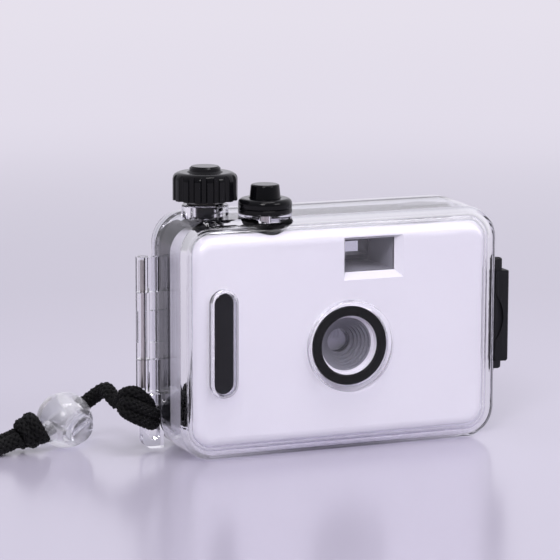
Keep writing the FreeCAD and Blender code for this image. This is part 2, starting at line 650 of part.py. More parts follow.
# Shared places
half_width = case_width / 2
camera_half = camera_width / 2
inner_floor = case_wall
door_y = seam_y + seam_gap
port_face = case_front + port_height
port_inner = port_face - port_window
blister_inner = blister_height - blister_wall
rib_top = inner_floor + rib_height
camera_wall_y = camera_front - cover_wall
frame_front = cover_back - joint_gap
gland_top = boss_top + gland_flange_height
dial_top = dial_low + dial_height
spool_axis = (knob_x, knob_y)
sprocket_axis = (knob_x + sprocket_x, knob_y + sprocket_y)
idler_axis = (knob_x + sprocket_x / 2, knob_y + sprocket_y / 2)
latch_x = half_width + latch_pin_x
latch_face = half_width + latch_seat + latch_plate
door_hinge_x = door_knuckle + joint_gap - camera_half
door_hinge_y = frame_back + door_gap + door_knuckle
cover_posts = [(-46.5, 7.8), (46.5, 7.8), (46.8, 68.4), (-16.4, 68.4)]
forward = Rotation(Vector(1, 0, 0), 90)


def front_shell():
    """Clear front half of the case with port, blister, bosses, knuckles and lug."""
    body = new_body("front_shell")
    seam = front_sketch(body, seam_y)
    rounded(seam, -half_width, half_width, base_level, case_height, case_corner)
    face = front_sketch(body, -case_front)
    rounded(face, case_draft - half_width, half_width - case_draft, base_level,
            case_height - case_draft, case_corner - case_draft)
    loft(body, "AdditiveLoft", seam, face)
    rounding(body, case_edge, lambda spot: near(spot.y, -case_front))

    lug = front_sketch(body, lug_front + lug_thick)
    left = -half_width - lug_reach
    outline(lug, [
        (1 - half_width, lug_low), (1 - half_width, lug_high),
        (left + lug_corner, lug_high, lug_corner, 1), (left, lug_high - lug_corner),
        (left, lug_low + lug_corner, lug_corner, 1), (left + lug_corner, lug_low)])
    pad(body, lug, lug_thick)

    for low, high in ((hinge_low, hinge_first), (hinge_second, hinge_high)):
        barrel = top_sketch(body, low + knuckle_gap)
        ring_mark(barrel, hinge_x, seam_y, hinge_radius)
        pad(body, barrel, high - low - knuckle_gap * 2)
        arm = top_sketch(body, low + knuckle_gap)
        rectangle(arm, hinge_x, 1 - half_width, seam_y - hinge_radius, seam_y)
        pad(body, arm, high - low - knuckle_gap * 2)

    port = front_sketch(body, 1 - case_front)
    ring_mark(port, lens_x, lens_z, port_radius)
    pad(body, port, port_height + 1)
    rounding(body, port_edge, lambda spot: near(spot.y, -port_face))

    blister = front_sketch(body, 1 - case_front)
    shell_radius = grip_radius + grip_gap + blister_wall
    capsule(blister, grip_x, grip_z, shell_radius, grip_height + (grip_gap + blister_wall) * 2)
    pad(body, blister, blister_height + 1)
    rounding(body, blister_edge, lambda spot: near(spot.y, -(case_front + blister_height)))

    boss = top_sketch(body, case_height - case_wall + 0.3)
    ring_mark(boss, knob_x, knob_y, boss_radius)
    pad(body, boss, boss_top - case_height + case_wall - 0.3)
    rounding(body, boss_edge, lambda spot: near(spot.z, boss_top))
    seat = top_sketch(body, case_height - case_wall - 0.4)
    ring_mark(seat, button_x, button_y, button_boss)
    pad(body, seat, button_boss_top - case_height + case_wall + 0.4)

    inside = front_sketch(body, seam_y)
    rounded(inside, case_wall - half_width, half_width - case_wall, case_wall,
            case_height - case_wall, case_corner - case_wall)
    bottom = front_sketch(body, case_window - case_front)
    rounded(bottom, case_wall + case_draft - half_width, half_width - case_wall - case_draft,
            case_wall, case_height - case_wall - case_draft,
            case_corner - case_wall - case_draft)
    loft(body, "SubtractiveLoft", inside, bottom)
    rounding(body, inner_edge, lambda spot: near(spot.y, case_window - case_front))

    bore = front_sketch(body, 1 - case_front + case_window)
    ring_mark(bore, lens_x, lens_z, port_bore)
    cut_forward(body, bore, port_inner - case_front + case_window + 1)
    hollow = front_sketch(body, 1 - case_front + case_window)
    capsule(hollow, grip_x, grip_z, grip_radius + grip_gap, grip_height + grip_gap * 2)
    cut_forward(body, hollow, blister_inner + case_window + 1)

    shaft_bore = top_sketch(body, boss_top + 1)
    ring_mark(shaft_bore, knob_x, knob_y, boss_bore)
    pocket(body, shaft_bore, boss_top - case_height + case_wall + 4)
    plunger_bore = top_sketch(body, button_boss_top + 1)
    ring_mark(plunger_bore, button_x, button_y, plunger_radius + pin_gap)
    pocket(body, plunger_bore, button_boss_top - case_height + case_wall + 4)
    pin_bore = top_sketch(body, hinge_high + 1)
    ring_mark(pin_bore, hinge_x, seam_y, hinge_pin_radius)
    pocket(body, pin_bore, hinge_high - hinge_low + 2)
    eye = front_sketch(body, lug_front - 1)
    eye_left = left + lug_bar
    eye_right = -half_width - 0.4
    eye_radius = (eye_right - eye_left) / 2
    capsule(eye, eye_left + eye_radius, (lug_low + lug_high) / 2, eye_radius,
            lug_high - lug_low - lug_rim * 2)
    pocket(body, eye, lug_thick + 2)

    for side in (-1, 1):
        rib = top_sketch(body, case_wall - 0.2)
        rectangle(rib, rib_spacing * side / 2 - rib_width / 2,
                  rib_spacing * side / 2 + rib_width / 2, -rib_length / 2 - 4,
                  rib_length / 2 - 4)
        pad(body, rib, rib_height + 0.2)
    return body


def rear_shell():
    """Clear rear half of the case, which swings on the hinge."""
    body = new_body("rear_shell")
    face = front_sketch(body, case_back)
    rounded(face, back_draft - half_width, half_width - back_draft, base_level,
            case_height - back_draft, case_corner - back_draft)
    seam = front_sketch(body, door_y)
    rounded(seam, -half_width, half_width, base_level, case_height, case_corner)
    loft(body, "AdditiveLoft", face, seam)
    rounding(body, case_edge, lambda spot: near(spot.y, case_back))

    barrel = top_sketch(body, hinge_first + knuckle_gap)
    ring_mark(barrel, hinge_x, seam_y, hinge_radius)
    pad(body, barrel, hinge_second - hinge_first - knuckle_gap * 2)
    arm = top_sketch(body, arm_low)
    rectangle(arm, hinge_x, 1 - half_width, door_y, seam_y + hinge_radius)
    pad(body, arm, arm_high - arm_low)
    bead = top_sketch(body, lever_low + 2)
    rectangle(bead, half_width - 1, half_width + bead_height, bead_y - bead_width / 2,
              bead_y + bead_width / 2)
    pad(body, bead, lever_high - lever_low - 4)

    bottom = front_sketch(body, case_back - case_window)
    rounded(bottom, case_wall + back_draft - half_width, half_width - case_wall - back_draft,
            case_wall, case_height - case_wall - back_draft,
            case_corner - case_wall - back_draft)
    inside = front_sketch(body, door_y)
    rounded(inside, case_wall - half_width, half_width - case_wall, case_wall,
            case_height - case_wall, case_corner - case_wall)
    loft(body, "SubtractiveLoft", bottom, inside)
    rounding(body, inner_edge, lambda spot: near(spot.y, case_back - case_window))

    groove = front_sketch(body, door_y)
    gasket_ring(groove, gasket_gap)
    pocket(body, groove, groove_depth)
    pin_bore = top_sketch(body, hinge_second + 1)
    ring_mark(pin_bore, hinge_x, seam_y, hinge_pin_radius + pin_gap)
    pocket(body, pin_bore, hinge_second - hinge_first + 2)
    return body


def gasket_ring(sketch, gap):
    """The two rounded outlines of the gasket, widened by a gap."""
    outer = gasket_lip - gap
    inner = gasket_lip + gasket_width + gap
    for inset in (outer, inner):
        rounded(sketch, inset - half_width, half_width - inset, inset, case_height - inset,
                case_corner - inset)


def gasket():
    """Black rubber gasket in the rim of the rear shell."""
    body = new_body("shell_gasket")
    ring = front_sketch(body, door_y + groove_depth)
    gasket_ring(ring, 0)
    pad(body, ring, groove_depth + gasket_proud)
    return body


def rod(name, x, y, z, radius, length):
    """A plain upright pin."""
    pin_rod = doc.addObject("Part::Cylinder", name)
    pin_rod.Label = name
    bind(pin_rod, "Radius", radius)
    bind(pin_rod, "Height", length)
    place(pin_rod, x, y, z)
    pieces.append(pin_rod)
    return pin_rod


def latch():
    """Black latch base with two ears, and the lever that turns on its pin."""
    base = new_body("latch_base", latch_x, latch_pin_y)
    plate = top_sketch(base, latch_low)
    inner = latch_seat - latch_pin_x
    rectangle(plate, inner, inner + latch_plate, -latch_front, latch_length)
    pad(base, plate, latch_high - latch_low)
    rounding(base, size_latch_corner, lambda spot: near(spot.x, inner + latch_plate / 2, 1)
             and (near(spot.z, latch_low) or near(spot.z, latch_high))
             and (near(spot.y, -latch_front) or near(spot.y, latch_length)))
    for low, high in ((latch_low + 0.6, lever_low - joint_gap),
                      (lever_high + joint_gap, latch_high - 0.6)):
        ear = top_sketch(base, low)
        outline(ear, [
            (inner + latch_plate / 2, -latch_ear), (0, -latch_ear, latch_ear, 1),
            (latch_ear, 0, latch_ear, 1), (0, latch_ear), (inner + latch_plate / 2, latch_ear)])
        pad(base, ear, high - low)
    rounding(base, size_ear_edge, lambda spot: spot.x > -1 and (
        near(spot.z, latch_low + 0.6) or near(spot.z, latch_high - 0.6)))
    hole = top_sketch(base, latch_high)
    ring_mark(hole, 0, 0, latch_pin_radius)
    pocket(base, hole, latch_high - latch_low)

    lever = new_body("latch_lever", latch_x, latch_pin_y)
    side = top_sketch(lever, lever_low)
    near_face = inner + latch_plate + lever_gap
    far_face = bead_height - latch_pin_x + lever_gap
    step_y = seam_y - latch_pin_y - 0.5
    outline(side, [
        (near_face, 0, -near_face, 1), (0, near_face), (1.3, -2.3), (3.0, -2.6),
        (lever_face, -1.6), (lever_face, lever_reach - 9), (lever_face - 1.4, lever_reach - 3),
        (lever_face - 1.0, lever_reach), (far_face + 0.5, lever_reach),
        (far_face, lever_reach - 0.8), (far_face, step_y + 0.6), (near_face, step_y)])
    pad(lever, side, lever_high - lever_low)
    rounding(lever, size_lever_edge, lambda spot: spot.x > value_of(lever_face) - 1.5
             and (near(spot.z, lever_low) or near(spot.z, lever_high)))
    scoop = front_sketch(lever, -4)
    ring_mark(scoop, near_face + size_scoop_reach - size_scoop_radius,
              (lever_low + lever_high) / 2 - 0.6, size_scoop_radius)
    pocket(lever, scoop, size_scoop_depth)
    bore = top_sketch(lever, lever_high)
    ring_mark(bore, 0, 0, latch_pin_radius + pin_gap)
    pocket(lever, bore, lever_high - lever_low)
    nub = top_sketch(lever, (lever_low + lever_high) / 2 - 3.6)
    rectangle(nub, lever_face - 0.3, lever_face + 0.4, 0, lever_reach - 10)
    first_nub = pad(lever, nub, size_nub_height)
    row = lever.newObject("PartDesign::LinearPattern", "latch_nubs")
    row.Originals = [first_nub]
    row.Direction = (plane_of(lever, "Z_Axis"), [""])
    row.Length = 6.4
    row.Occurrences = 5
    lever.Tip = row
    rod("latch_pin", latch_x, latch_pin_y, latch_low + 0.8, latch_pin_radius,
        latch_high - latch_low - 1.6)


def winding_knob():
    """Black fluted knob with its cap, shaft, gland and seal."""
    knob = new_body("wind_knob", knob_x, knob_y)
    turned(knob, [
        (shaft_radius, knob_low), (knob_radius, knob_low),
        (knob_radius, knob_high - knob_shoulder, knob_shoulder, 1),
        (knob_radius - knob_shoulder, knob_high), (cap_radius + 0.9, knob_high),
        (cap_radius + 0.2, knob_high + 0.5), (cap_radius, knob_high + 0.5),
        (cap_radius, knob_high - cap_seat), (shaft_radius, knob_high - cap_seat)])
    flute = top_sketch(knob, knob_low - 1)
    ring_mark(flute, knob_radius + flute_radius - flute_depth, 0, flute_radius)
    cut = pocket(knob, flute, knob_high - knob_low + 2, True)
    pattern_round(knob, cut, flute_count)

    cap = new_body("knob_cap", knob_x, knob_y)
    top = knob_high + cap_height
    turned(cap, [
        (0, knob_high - cap_seat), (cap_radius - 0.02, knob_high - cap_seat),
        (cap_radius - 0.02, top - 0.6), (cap_radius - 0.7, top), (0, top)])

    shaft = new_body("wind_shaft", knob_x, knob_y)
    shaft_foot = dial_top + drive_gap
    turned(shaft, [
        (0, shaft_foot), (shaft_radius, shaft_foot), (shaft_radius, gland_top + neck_gap),
        (neck_radius, gland_top + neck_gap), (neck_radius, knob_low), (shaft_radius, knob_low),
        (shaft_radius, shaft_top), (0, shaft_top)])
    tongue = top_sketch(shaft, dial_top - tongue_depth)
    rectangle(tongue, -tongue_length / 2, tongue_length / 2, -tongue_width / 2, tongue_width / 2)
    pad(shaft, tongue, tongue_depth + drive_gap + 0.5)

    gland = new_body("shaft_gland", knob_x, knob_y)
    clear = shaft_radius + pin_gap
    seal_outer = clear + seal_wire * 2 + pin_gap
    turned(gland, [
        (clear, gland_low), (boss_bore - pin_gap, gland_low), (boss_bore - pin_gap, boss_top),
        (gland_flange, boss_top), (gland_flange, gland_top), (seal_outer, gland_top),
        (seal_outer, gland_top - seal_wire * 2.4), (clear, gland_top - seal_wire * 2.4)])
    ring = doc.addObject("Part::Torus", "shaft_seal")
    ring.Label = "shaft_seal"
    bind(ring, "Radius1", clear + seal_wire)
    bind(ring, "Radius2", seal_wire - 0.01)
    place(ring, knob_x, knob_y, gland_top - seal_wire * 1.3)
    pieces.append(ring)


def shutter_button():
    """Black shutter button of the case: collar, cap, plunger, spring and seal."""
    collar = new_body("shutter_collar", button_x, button_y)
    foot = button_boss_top
    top = foot + collar_height
    inner = button_low_radius + button_gap
    waist = foot + collar_groove_z
    floor = foot + 1.0
    seal_room = plunger_radius + pin_gap + plunger_seal_wire * 2 + 0.05
    turned(collar, [
        (seal_room, foot), (collar_radius - 0.3, foot),
        (collar_radius, foot + 0.4), (collar_radius, waist - 0.25),
        (collar_radius - collar_groove, waist), (collar_radius, waist + 0.25),
        (collar_radius, top - collar_edge, collar_edge, 1), (collar_radius - collar_edge, top),
        (inner, top), (inner, floor), (seal_room, floor)])

    cap = new_body("shutter_cap", button_x, button_y)
    skirt = floor + button_travel + 0.3
    bore = spring_outer + 0.15
    turned(cap, [
        (plunger_radius, button_top - 1.8), (plunger_radius, button_top - 1.0), (0, button_top - 1.0),
        (0, button_top), (button_top_radius - button_edge, button_top, button_edge, -1),
        (button_top_radius, button_top - button_edge), (button_low_radius, top),
        (button_low_radius, skirt), (bore, skirt), (bore, button_top - 1.8)])
    plunger_foot = cam_button_top + press_gap
    rod("shutter_plunger", button_x, button_y, plunger_foot, plunger_radius,
        button_top - 1.0 - plunger_foot)
    spring = new_body("plunger_spring", button_x, button_y)
    turned(spring, [
        (spring_outer - spring_wall * 2, floor), (spring_outer, floor),
        (spring_outer, button_top - 1.85), (spring_outer - spring_wall * 2, button_top - 1.85)])


def camera_cover():
    """White front cover of the camera with the lens boss and viewfinder opening."""
    body = new_body("front_cover")
    back = front_sketch(body, -cover_back)
    rounded(back, -camera_half, camera_half, camera_low, camera_high, camera_corner)
    pad(body, back, camera_front - cover_back)
    rounding(body, camera_edge, lambda spot: near(spot.y, -camera_front))
    boss = front_sketch(body, 1 - camera_front)
    ring_mark(boss, lens_x, lens_z, lens_boss)
    pad(body, boss, lens_boss_height + 1)
    inside = front_sketch(body, -cover_back)
    rounded(inside, cover_wall - camera_half, camera_half - cover_wall, camera_low + cover_wall,
            camera_high - cover_wall, camera_corner - cover_wall)
    cut_forward(body, inside, camera_front - cover_back - cover_wall)
    wide = front_sketch(body, -(camera_front + lens_boss_height))
    ring_mark(wide, lens_x, lens_z, lens_opening)
    pocket(body, wide, lens_boss_height + ledge_depth)
    narrow = front_sketch(body, -camera_front)
    ring_mark(narrow, lens_x, lens_z, lens_ledge)
    pocket(body, narrow, cover_wall + 1)

    inner_window = front_sketch(body, -camera_wall_y + 0.01)
    rectangle(inner_window, window_left, window_left + window_width, window_low,
              window_low + window_height)
    outer_window = front_sketch(body, -camera_front - 0.01)
    rectangle(outer_window, window_left - window_slope_small,
              window_left + window_width + window_slope_side, window_low - window_slope_low,
              window_low + window_height + window_slope_small)
    loft(body, "SubtractiveLoft", inner_window, outer_window)

    for x, z in cover_posts:
        post = front_sketch(body, frame_back - frame_web - joint_gap)
        ring_mark(post, x, z, post_radius)
        pad(body, post, camera_wall_y + frame_back - frame_web - joint_gap + 0.3)
        hole = front_sketch(body, frame_back)
        ring_mark(hole, x, z, screw_radius)
        cut_forward(body, hole, screw_length + 2)
    button_hole = top_sketch(body, camera_high + 1)
    ring_mark(button_hole, button_x, button_y, cam_button_radius + cam_button_gap)
    pocket(body, button_hole, cover_wall + 3)
    for x, y in ((knob_x, knob_y), (chamber_x, chamber_y)):
        shaft_hole = top_sketch(body, camera_high + 1)
        ring_mark(shaft_hole, x, y, shaft_radius + 0.4)
        pocket(body, shaft_hole, cover_wall + 3)
    return body


def lens_group():
    """Lens ring, stepped cone and two glass elements on the lens axis."""
    ring = new_body("lens_ring", lens_x, 0, lens_z, forward)
    ring_back = camera_front + lens_boss_height
    turned(ring, [
        (lens_opening, ring_back), (lens_boss - 0.05, ring_back),
        (lens_boss - 0.05, ring_back + ring_height - 0.2),
        (lens_boss - 0.25, ring_back + ring_height), (lens_opening + 0.5, ring_back + ring_height),
        (lens_opening, ring_back + ring_height - 0.4)])
    cone = new_body("lens_cone", lens_x, 0, lens_z, forward)
    mouth = camera_front - ledge_depth
    step_depth = cone_depth / cone_steps
    step_width = (cone_mouth - 0.5 - glass_radius - glass_seat) / cone_steps
    wall = cone_mouth + 0.1
    rear = mouth - cone_length
    inner = glass_radius + glass_seat
    profile = [(wall, rear), (wall, mouth), (cone_mouth - 0.4, mouth)]
    for number in range(cone_steps):
        radius = cone_mouth - 0.4 - step_width * number
        profile.append((radius, mouth - step_depth * number - step_depth))
        profile.append((radius - step_width, mouth - step_depth * number - step_depth))
    profile[-1] = (inner - 0.3, mouth - cone_depth)
    profile.append((inner - 0.3, mouth - cone_depth - 0.4))
    profile.append((inner, mouth - cone_depth - 0.4))
    profile.append((inner, rear))
    turned(cone, profile)

    glass_back = mouth - cone_depth - 0.45 - glass_rim
    for name, start in (("front_lens", glass_back), ("rear_lens", glass_back - 2.4)):
        glass = new_body(name, lens_x, 0, lens_z, forward)
        if name == "front_lens":
            turned(glass, [
                (0, start), (glass_radius, start), (glass_radius, start + glass_rim),
                (glass_radius - 0.5, start + glass_rim),
                (glass_radius - 0.5, start + glass_rim + 0.05),
                (0, start + glass_rim + glass_bulge * 0.8)])
        else:
            turned(glass, [
                (0, start), (glass_radius, start), (glass_radius, start + glass_rim),
                (0, start + glass_rim)])

def plate(name, left, right, low, high, front, thick, radius=None):
    """An upright plate seen from the front, from y = front backwards."""
    body = new_body(name)
    sketch = front_sketch(body, front + thick)
    if radius is None:
        rectangle(sketch, left, right, low, high)
    else:
        rounded(sketch, left, right, low, high, radius)
    pad(body, sketch, thick)
    return body


def front_block(body, left, right, low, high, front, back):
    """Adds a box between two depths."""
    sketch = front_sketch(body, back)
    rectangle(sketch, left, right, low, high)
    return pad(body, sketch, back - front)


def front_hole(body, x, z, radius, front, back):
    """Drills a round hole between two depths."""
    sketch = front_sketch(body, back)
    ring_mark(sketch, x, z, radius)
    return cut_forward(body, sketch, back - front)


def front_cut(body, left, right, low, high, front, back):
    """Cuts a box between two depths."""
    sketch = front_sketch(body, back)
    rectangle(sketch, left, right, low, high)
    return cut_forward(body, sketch, back - front)


def tower(sketch, x, y, radius, back):
    """A round-fronted outline, open towards the back."""
    outline(sketch, [
        (x - radius, y, radius, 1), (x, y - radius, radius, 1), (x + radius, y),
        (x + radius, back), (x - radius, back)])


def gear(name, x, y, z, thick, root, height, base_half, tip_half, teeth, bore):
    """A small gear whose first tooth points along its own X axis."""
    body = new_body(name, x, y, z)
    body.setExpression("Placement.Rotation.Angle",
                       "atan2(" + sprocket_y.formula + "; " + sprocket_x.formula + ")")
    blank = top_sketch(body)
    ring_mark(blank, 0, 0, root)
    ring_mark(blank, 0, 0, bore)
    pad(body, blank, thick)
    tooth = top_sketch(body)
    outline(tooth, [
        (root - 0.15, -base_half), (root + height, -tip_half), (root + height, tip_half),
        (root - 0.15, base_half)])
    first = pad(body, tooth, thick)
    pattern_round(body, first, teeth)
    return body


def main_frame():
    """Black film frame with film chamber, take-up chamber, light baffle and gate."""
    body = new_body("main_frame")
    web_front = frame_back - frame_web
    slab = front_sketch(body, frame_back)
    rounded(slab, -camera_half, camera_half, camera_low, camera_high, camera_corner)
    pad(body, slab, frame_back + frame_front)
    hollow = front_sketch(body, web_front)
    rounded(hollow, frame_wall - camera_half, camera_half - frame_wall, camera_low + frame_wall,
            camera_high - frame_wall, camera_corner - frame_wall)
    cut_forward(body, hollow, web_front + frame_front + 1)
    housing = front_sketch(body, housing_back)
    outline(housing, [
        (-camera_half, housing_low), (camera_half, housing_low),
        (camera_half, camera_high - camera_corner, camera_corner, 1),
        (camera_half - camera_corner, camera_high),
        (camera_corner - camera_half, camera_high, camera_corner, 1),
        (-camera_half, camera_high - camera_corner)])
    pad(body, housing, housing_back - frame_back)
    rounding(body, door_edge, lambda spot: near(spot.y, housing_back)
             and spot.z > value_of(housing_low) + 0.5)

    film_tower = top_sketch(body, chamber_low - tower_wall)
    tower(film_tower, chamber_x, chamber_y, chamber_radius + tower_wall, web_front + 0.5)
    pad(body, film_tower, chamber_high - chamber_low + tower_wall * 2)
    spool_tower = top_sketch(body, spool_low - tower_wall)
    tower(spool_tower, knob_x, knob_y, spool_chamber + tower_wall, web_front + 0.5)
    pad(body, spool_tower, spool_high - spool_low + tower_wall * 2)
    film_room = top_sketch(body, chamber_high)
    tower(film_room, chamber_x, chamber_y, chamber_radius, frame_back + 1)
    pocket(body, film_room, chamber_high - chamber_low)
    spool_room = top_sketch(body, housing_low - 1.5)
    tower(spool_room, knob_x, knob_y, spool_chamber, frame_back + 1)
    pocket(body, spool_room, housing_low - 1.5 - spool_low)
    spool_dome = top_sketch(body, spool_high)
    ring_mark(spool_dome, knob_x, knob_y, spool_chamber)
    pocket(body, spool_dome, spool_high - housing_low + 2)

    baffle_front = baffle_length - web_front
    gate_left = lens_x - gate_width / 2
    gate_right = lens_x + gate_width / 2
    gate_low = lens_z - gate_height / 2
    gate_high = lens_z + gate_height / 2
    front_block(body, gate_left - baffle_wall, gate_right + baffle_wall, gate_low - baffle_wall,
                gate_high + baffle_wall, -baffle_front, web_front + 0.5)
    for x, z in ((lens_x - board_screw_x, lens_z + board_screw_z),
                 (lens_x + board_screw_x, lens_z - board_screw_z)):
        post = front_sketch(body, web_front + 0.5)
        ring_mark(post, x, z, board_post)
        pad(body, post, baffle_length + 0.5)
    front_cut(body, gate_left, gate_right, gate_low, gate_high, -baffle_front - 1, frame_back + 1)
    front_cut(body, knob_x, chamber_x, lens_z - channel_height / 2, lens_z + channel_height / 2,
              frame_back - channel_depth, frame_back + 1)
    front_cut(body, knob_x + sprocket_x - sprocket_pocket, knob_x + sprocket_x + sprocket_pocket,
              lens_z - row_spacing / 2 - 3, lens_z + row_spacing / 2 + 3, web_front - 1,
              frame_back + 1)
    for low in (lens_z - row_spacing / 2 - 3 - bearing_height, lens_z + row_spacing / 2 + 3):
        bearing = top_sketch(body, low)
        rectangle(bearing, knob_x + sprocket_x - bearing_half, knob_x + sprocket_x + bearing_half,
                  knob_y + sprocket_y - bearing_half, web_front + 0.5)
        pad(body, bearing, bearing_height)
    axle_bore = top_sketch(body, lens_z + row_spacing / 2 + 3 + bearing_height)
    ring_mark(axle_bore, knob_x + sprocket_x, knob_y + sprocket_y, axle_radius + pin_gap)
    pocket(body, axle_bore, row_spacing + 6 + bearing_height * 2)

    support = front_sketch(body, web_front + 0.5)
    ring_mark(support, button_x + lever_pivot_x, support_z, board_post)
    pad(body, support, web_front + 0.5 + board_y)
    pivot = front_sketch(body, -board_y)
    ring_mark(pivot, button_x + lever_pivot_x, support_z, pivot_radius)
    pad(body, pivot, lever_thick + 0.8)

    idler_post = top_sketch(body, spool_high + tower_wall - 0.5)
    ring_mark(idler_post, knob_x + sprocket_x / 2, knob_y + sprocket_y / 2, axle_radius)
    pad(body, idler_post, gear_low + gear_thick - spool_high - tower_wall + 0.7)
    shelf = top_sketch(body, spool_high)
    rectangle(shelf, knob_x + 4, knob_x + sprocket_x / 2 + 2, knob_y + sprocket_y / 2 - 2,
              web_front + 0.5)
    pad(body, shelf, tower_wall)

    gear_room = top_sketch(body, gear_low + gear_thick + 0.3)
    ring_mark(gear_room, knob_x + sprocket_x, knob_y + sprocket_y, gear_root + gear_tooth + 0.4)
    pocket(body, gear_room, gear_thick + 0.6)
    foot_room = top_sketch(body, camera_high - roof_hole)
    ring_mark(foot_room, counter_x, counter_y, counter_foot + 0.3)
    pocket(body, foot_room, foot_room_depth)
    top = camera_high + 1
    for x, y, radius, depth in (
            (knob_x, knob_y, shaft_radius + pin_gap, camera_high - spool_high + 2),
            (chamber_x, chamber_y, shaft_radius + pin_gap, camera_high - chamber_high + 2),
            (counter_x, counter_y, axle_radius + pin_gap, roof_hole + 3)):
        hole = top_sketch(body, top)
        ring_mark(hole, x, y, radius)
        pocket(body, hole, depth)
    for x, z in cover_posts:
        front_hole(body, x, z, screw_radius + pin_gap, web_front - 1, frame_back + 4)
        front_hole(body, x, z, screw_head + 0.1, frame_back - screw_head_height, frame_back + 4)
    for x, z in ((lens_x - board_screw_x, lens_z + board_screw_z),
                 (lens_x + board_screw_x, lens_z - board_screw_z)):
        front_hole(body, x, z, screw_radius, -baffle_front - 1, 0.5)
    front_cut(body, eyepiece_x - eyepiece_width / 2 + 1, eyepiece_x + eyepiece_width / 2 - 1,
              eyepiece_z - eyepiece_height / 2 + 1, eyepiece_z + eyepiece_height / 2 - 1,
              web_front - 1, housing_back + 1)
    front_cut(body, eyepiece_x - eyepiece_width / 2, eyepiece_x + eyepiece_width / 2,
              eyepiece_z - eyepiece_height / 2, eyepiece_z + eyepiece_height / 2,
              housing_back - eyepiece_thick, housing_back + 1)
    front_cut(body, chamber_x - catch_width / 2 - 0.3, chamber_x + catch_width / 2 + 0.3,
              housing_low + 1.2, housing_low + 1.5 + catch_height + catch_travel,
              housing_back - 1.6, housing_back + 1)

    for low, high in ((door_knuckle_low, door_knuckle_first),
                      (door_knuckle_second, housing_low + 0.5)):
        knuckle = top_sketch(body, low + knuckle_gap)
        ring_mark(knuckle, door_hinge_x, door_hinge_y, door_knuckle)
        pad(body, knuckle, high - low - knuckle_gap * 2)
        arm = top_sketch(body, low + knuckle_gap)
        rectangle(arm, door_hinge_x - door_knuckle, door_hinge_x + door_knuckle,
                  frame_back - 0.5, door_hinge_y)
        pad(body, arm, high - low - knuckle_gap * 2)
    bore = top_sketch(body, housing_low)
    ring_mark(bore, door_hinge_x, door_hinge_y, door_pin_radius)
    pocket(body, bore, housing_low - door_knuckle_low + 1)
    return body


def back_door():
    """Black back door with its hinge knuckle and the recess for the pressure plate."""
    body = new_body("back_door", door_hinge_x, door_hinge_y)
    back = door_thick - door_knuckle
    left = door_knuckle + door_gap
    right = camera_half - door_hinge_x - 0.2
    panel = front_sketch(body, back)
    door_corner = camera_corner - door_hinge_x - left - camera_half
    outline(panel, [
        (left + door_corner, camera_low), (right - camera_corner, camera_low, camera_corner, 1),
        (right, camera_low + camera_corner), (right, door_top), (left, door_top),
        (left, camera_low + door_corner, door_corner, 1)])
    pad(body, panel, door_thick)
    rounding(body, door_edge, lambda spot: near(spot.y, back) and spot.x > value_of(left) + 0.5
             and spot.z < value_of(door_top) - 0.5)
    knuckle = top_sketch(body, door_knuckle_first + knuckle_gap)
    ring_mark(knuckle, 0, 0, door_knuckle)
    pad(body, knuckle, door_knuckle_second - door_knuckle_first - knuckle_gap * 2)
    arm = top_sketch(body, door_knuckle_first + knuckle_gap)
    rectangle(arm, 0, left + 1, -door_knuckle, door_knuckle)
    pad(body, arm, door_knuckle_second - door_knuckle_first - knuckle_gap * 2)
    centre = lens_x - door_hinge_x
    recess = door_thick - door_skin
    front_cut(body, centre - plate_width / 2 - 1, centre + plate_width / 2 + 1,
              lens_z - plate_height / 2 - 1, lens_z + plate_height / 2 + 1,
              -door_knuckle - 1, recess - door_knuckle)
    bore = top_sketch(body, door_knuckle_second + 1)
    ring_mark(bore, 0, 0, door_pin_radius + pin_gap)
    pocket(body, bore, door_knuckle_second - door_knuckle_first + 2)
    return body


def door_fittings():
    """Hinge pin, catch, pressure plate and leaf spring of the back door."""
    rod("door_hinge_pin", door_hinge_x, door_hinge_y, door_knuckle_low + 0.3, door_pin_radius,
        housing_low - door_knuckle_low - 0.6)
    catch = plate("door_catch", chamber_x - catch_width / 2, chamber_x + catch_width / 2,
                  housing_low + 1.3, housing_low + 1.3 + catch_height, housing_back - 1.55,
                  catch_thick, catch_corner)
    ridge = front_sketch(catch, housing_back + 0.35)
    middle = housing_low + 1.3 + catch_height / 2
    rectangle(ridge, chamber_x - catch_width / 2 + 0.5, chamber_x + catch_width / 2 - 0.5,
              middle - 0.5, middle + 0.5)
    pad(catch, ridge, catch_ridge)
    plate_front = frame_back - channel_depth + 0.4
    plate("pressure_plate", lens_x - plate_width / 2, lens_x + plate_width / 2,
          lens_z - plate_height / 2, lens_z + plate_height / 2, plate_front, plate_thick,
          plate_corner)
    leaf = new_body("plate_spring", lens_x, 0, lens_z - leaf_half)
    rest = plate_front + plate_thick
    floor = frame_back + door_gap + door_thick - door_skin
    near_y = rest + 0.05
    strip = top_sketch(leaf)
    outline(strip, [
        (-leaf_end, near_y), (-leaf_foot, near_y), (-leaf_crown, floor - spring_leaf),
        (leaf_crown, floor - spring_leaf), (leaf_foot, near_y), (leaf_end, near_y),
        (leaf_end, near_y + spring_leaf), (leaf_foot + leaf_bend, near_y + spring_leaf),
        (leaf_crown + leaf_bend, floor), (-leaf_crown - leaf_bend, floor),
        (-leaf_foot - leaf_bend, near_y + spring_leaf), (-leaf_end, near_y + spring_leaf)])
    pad(leaf, strip, leaf_half * 2)


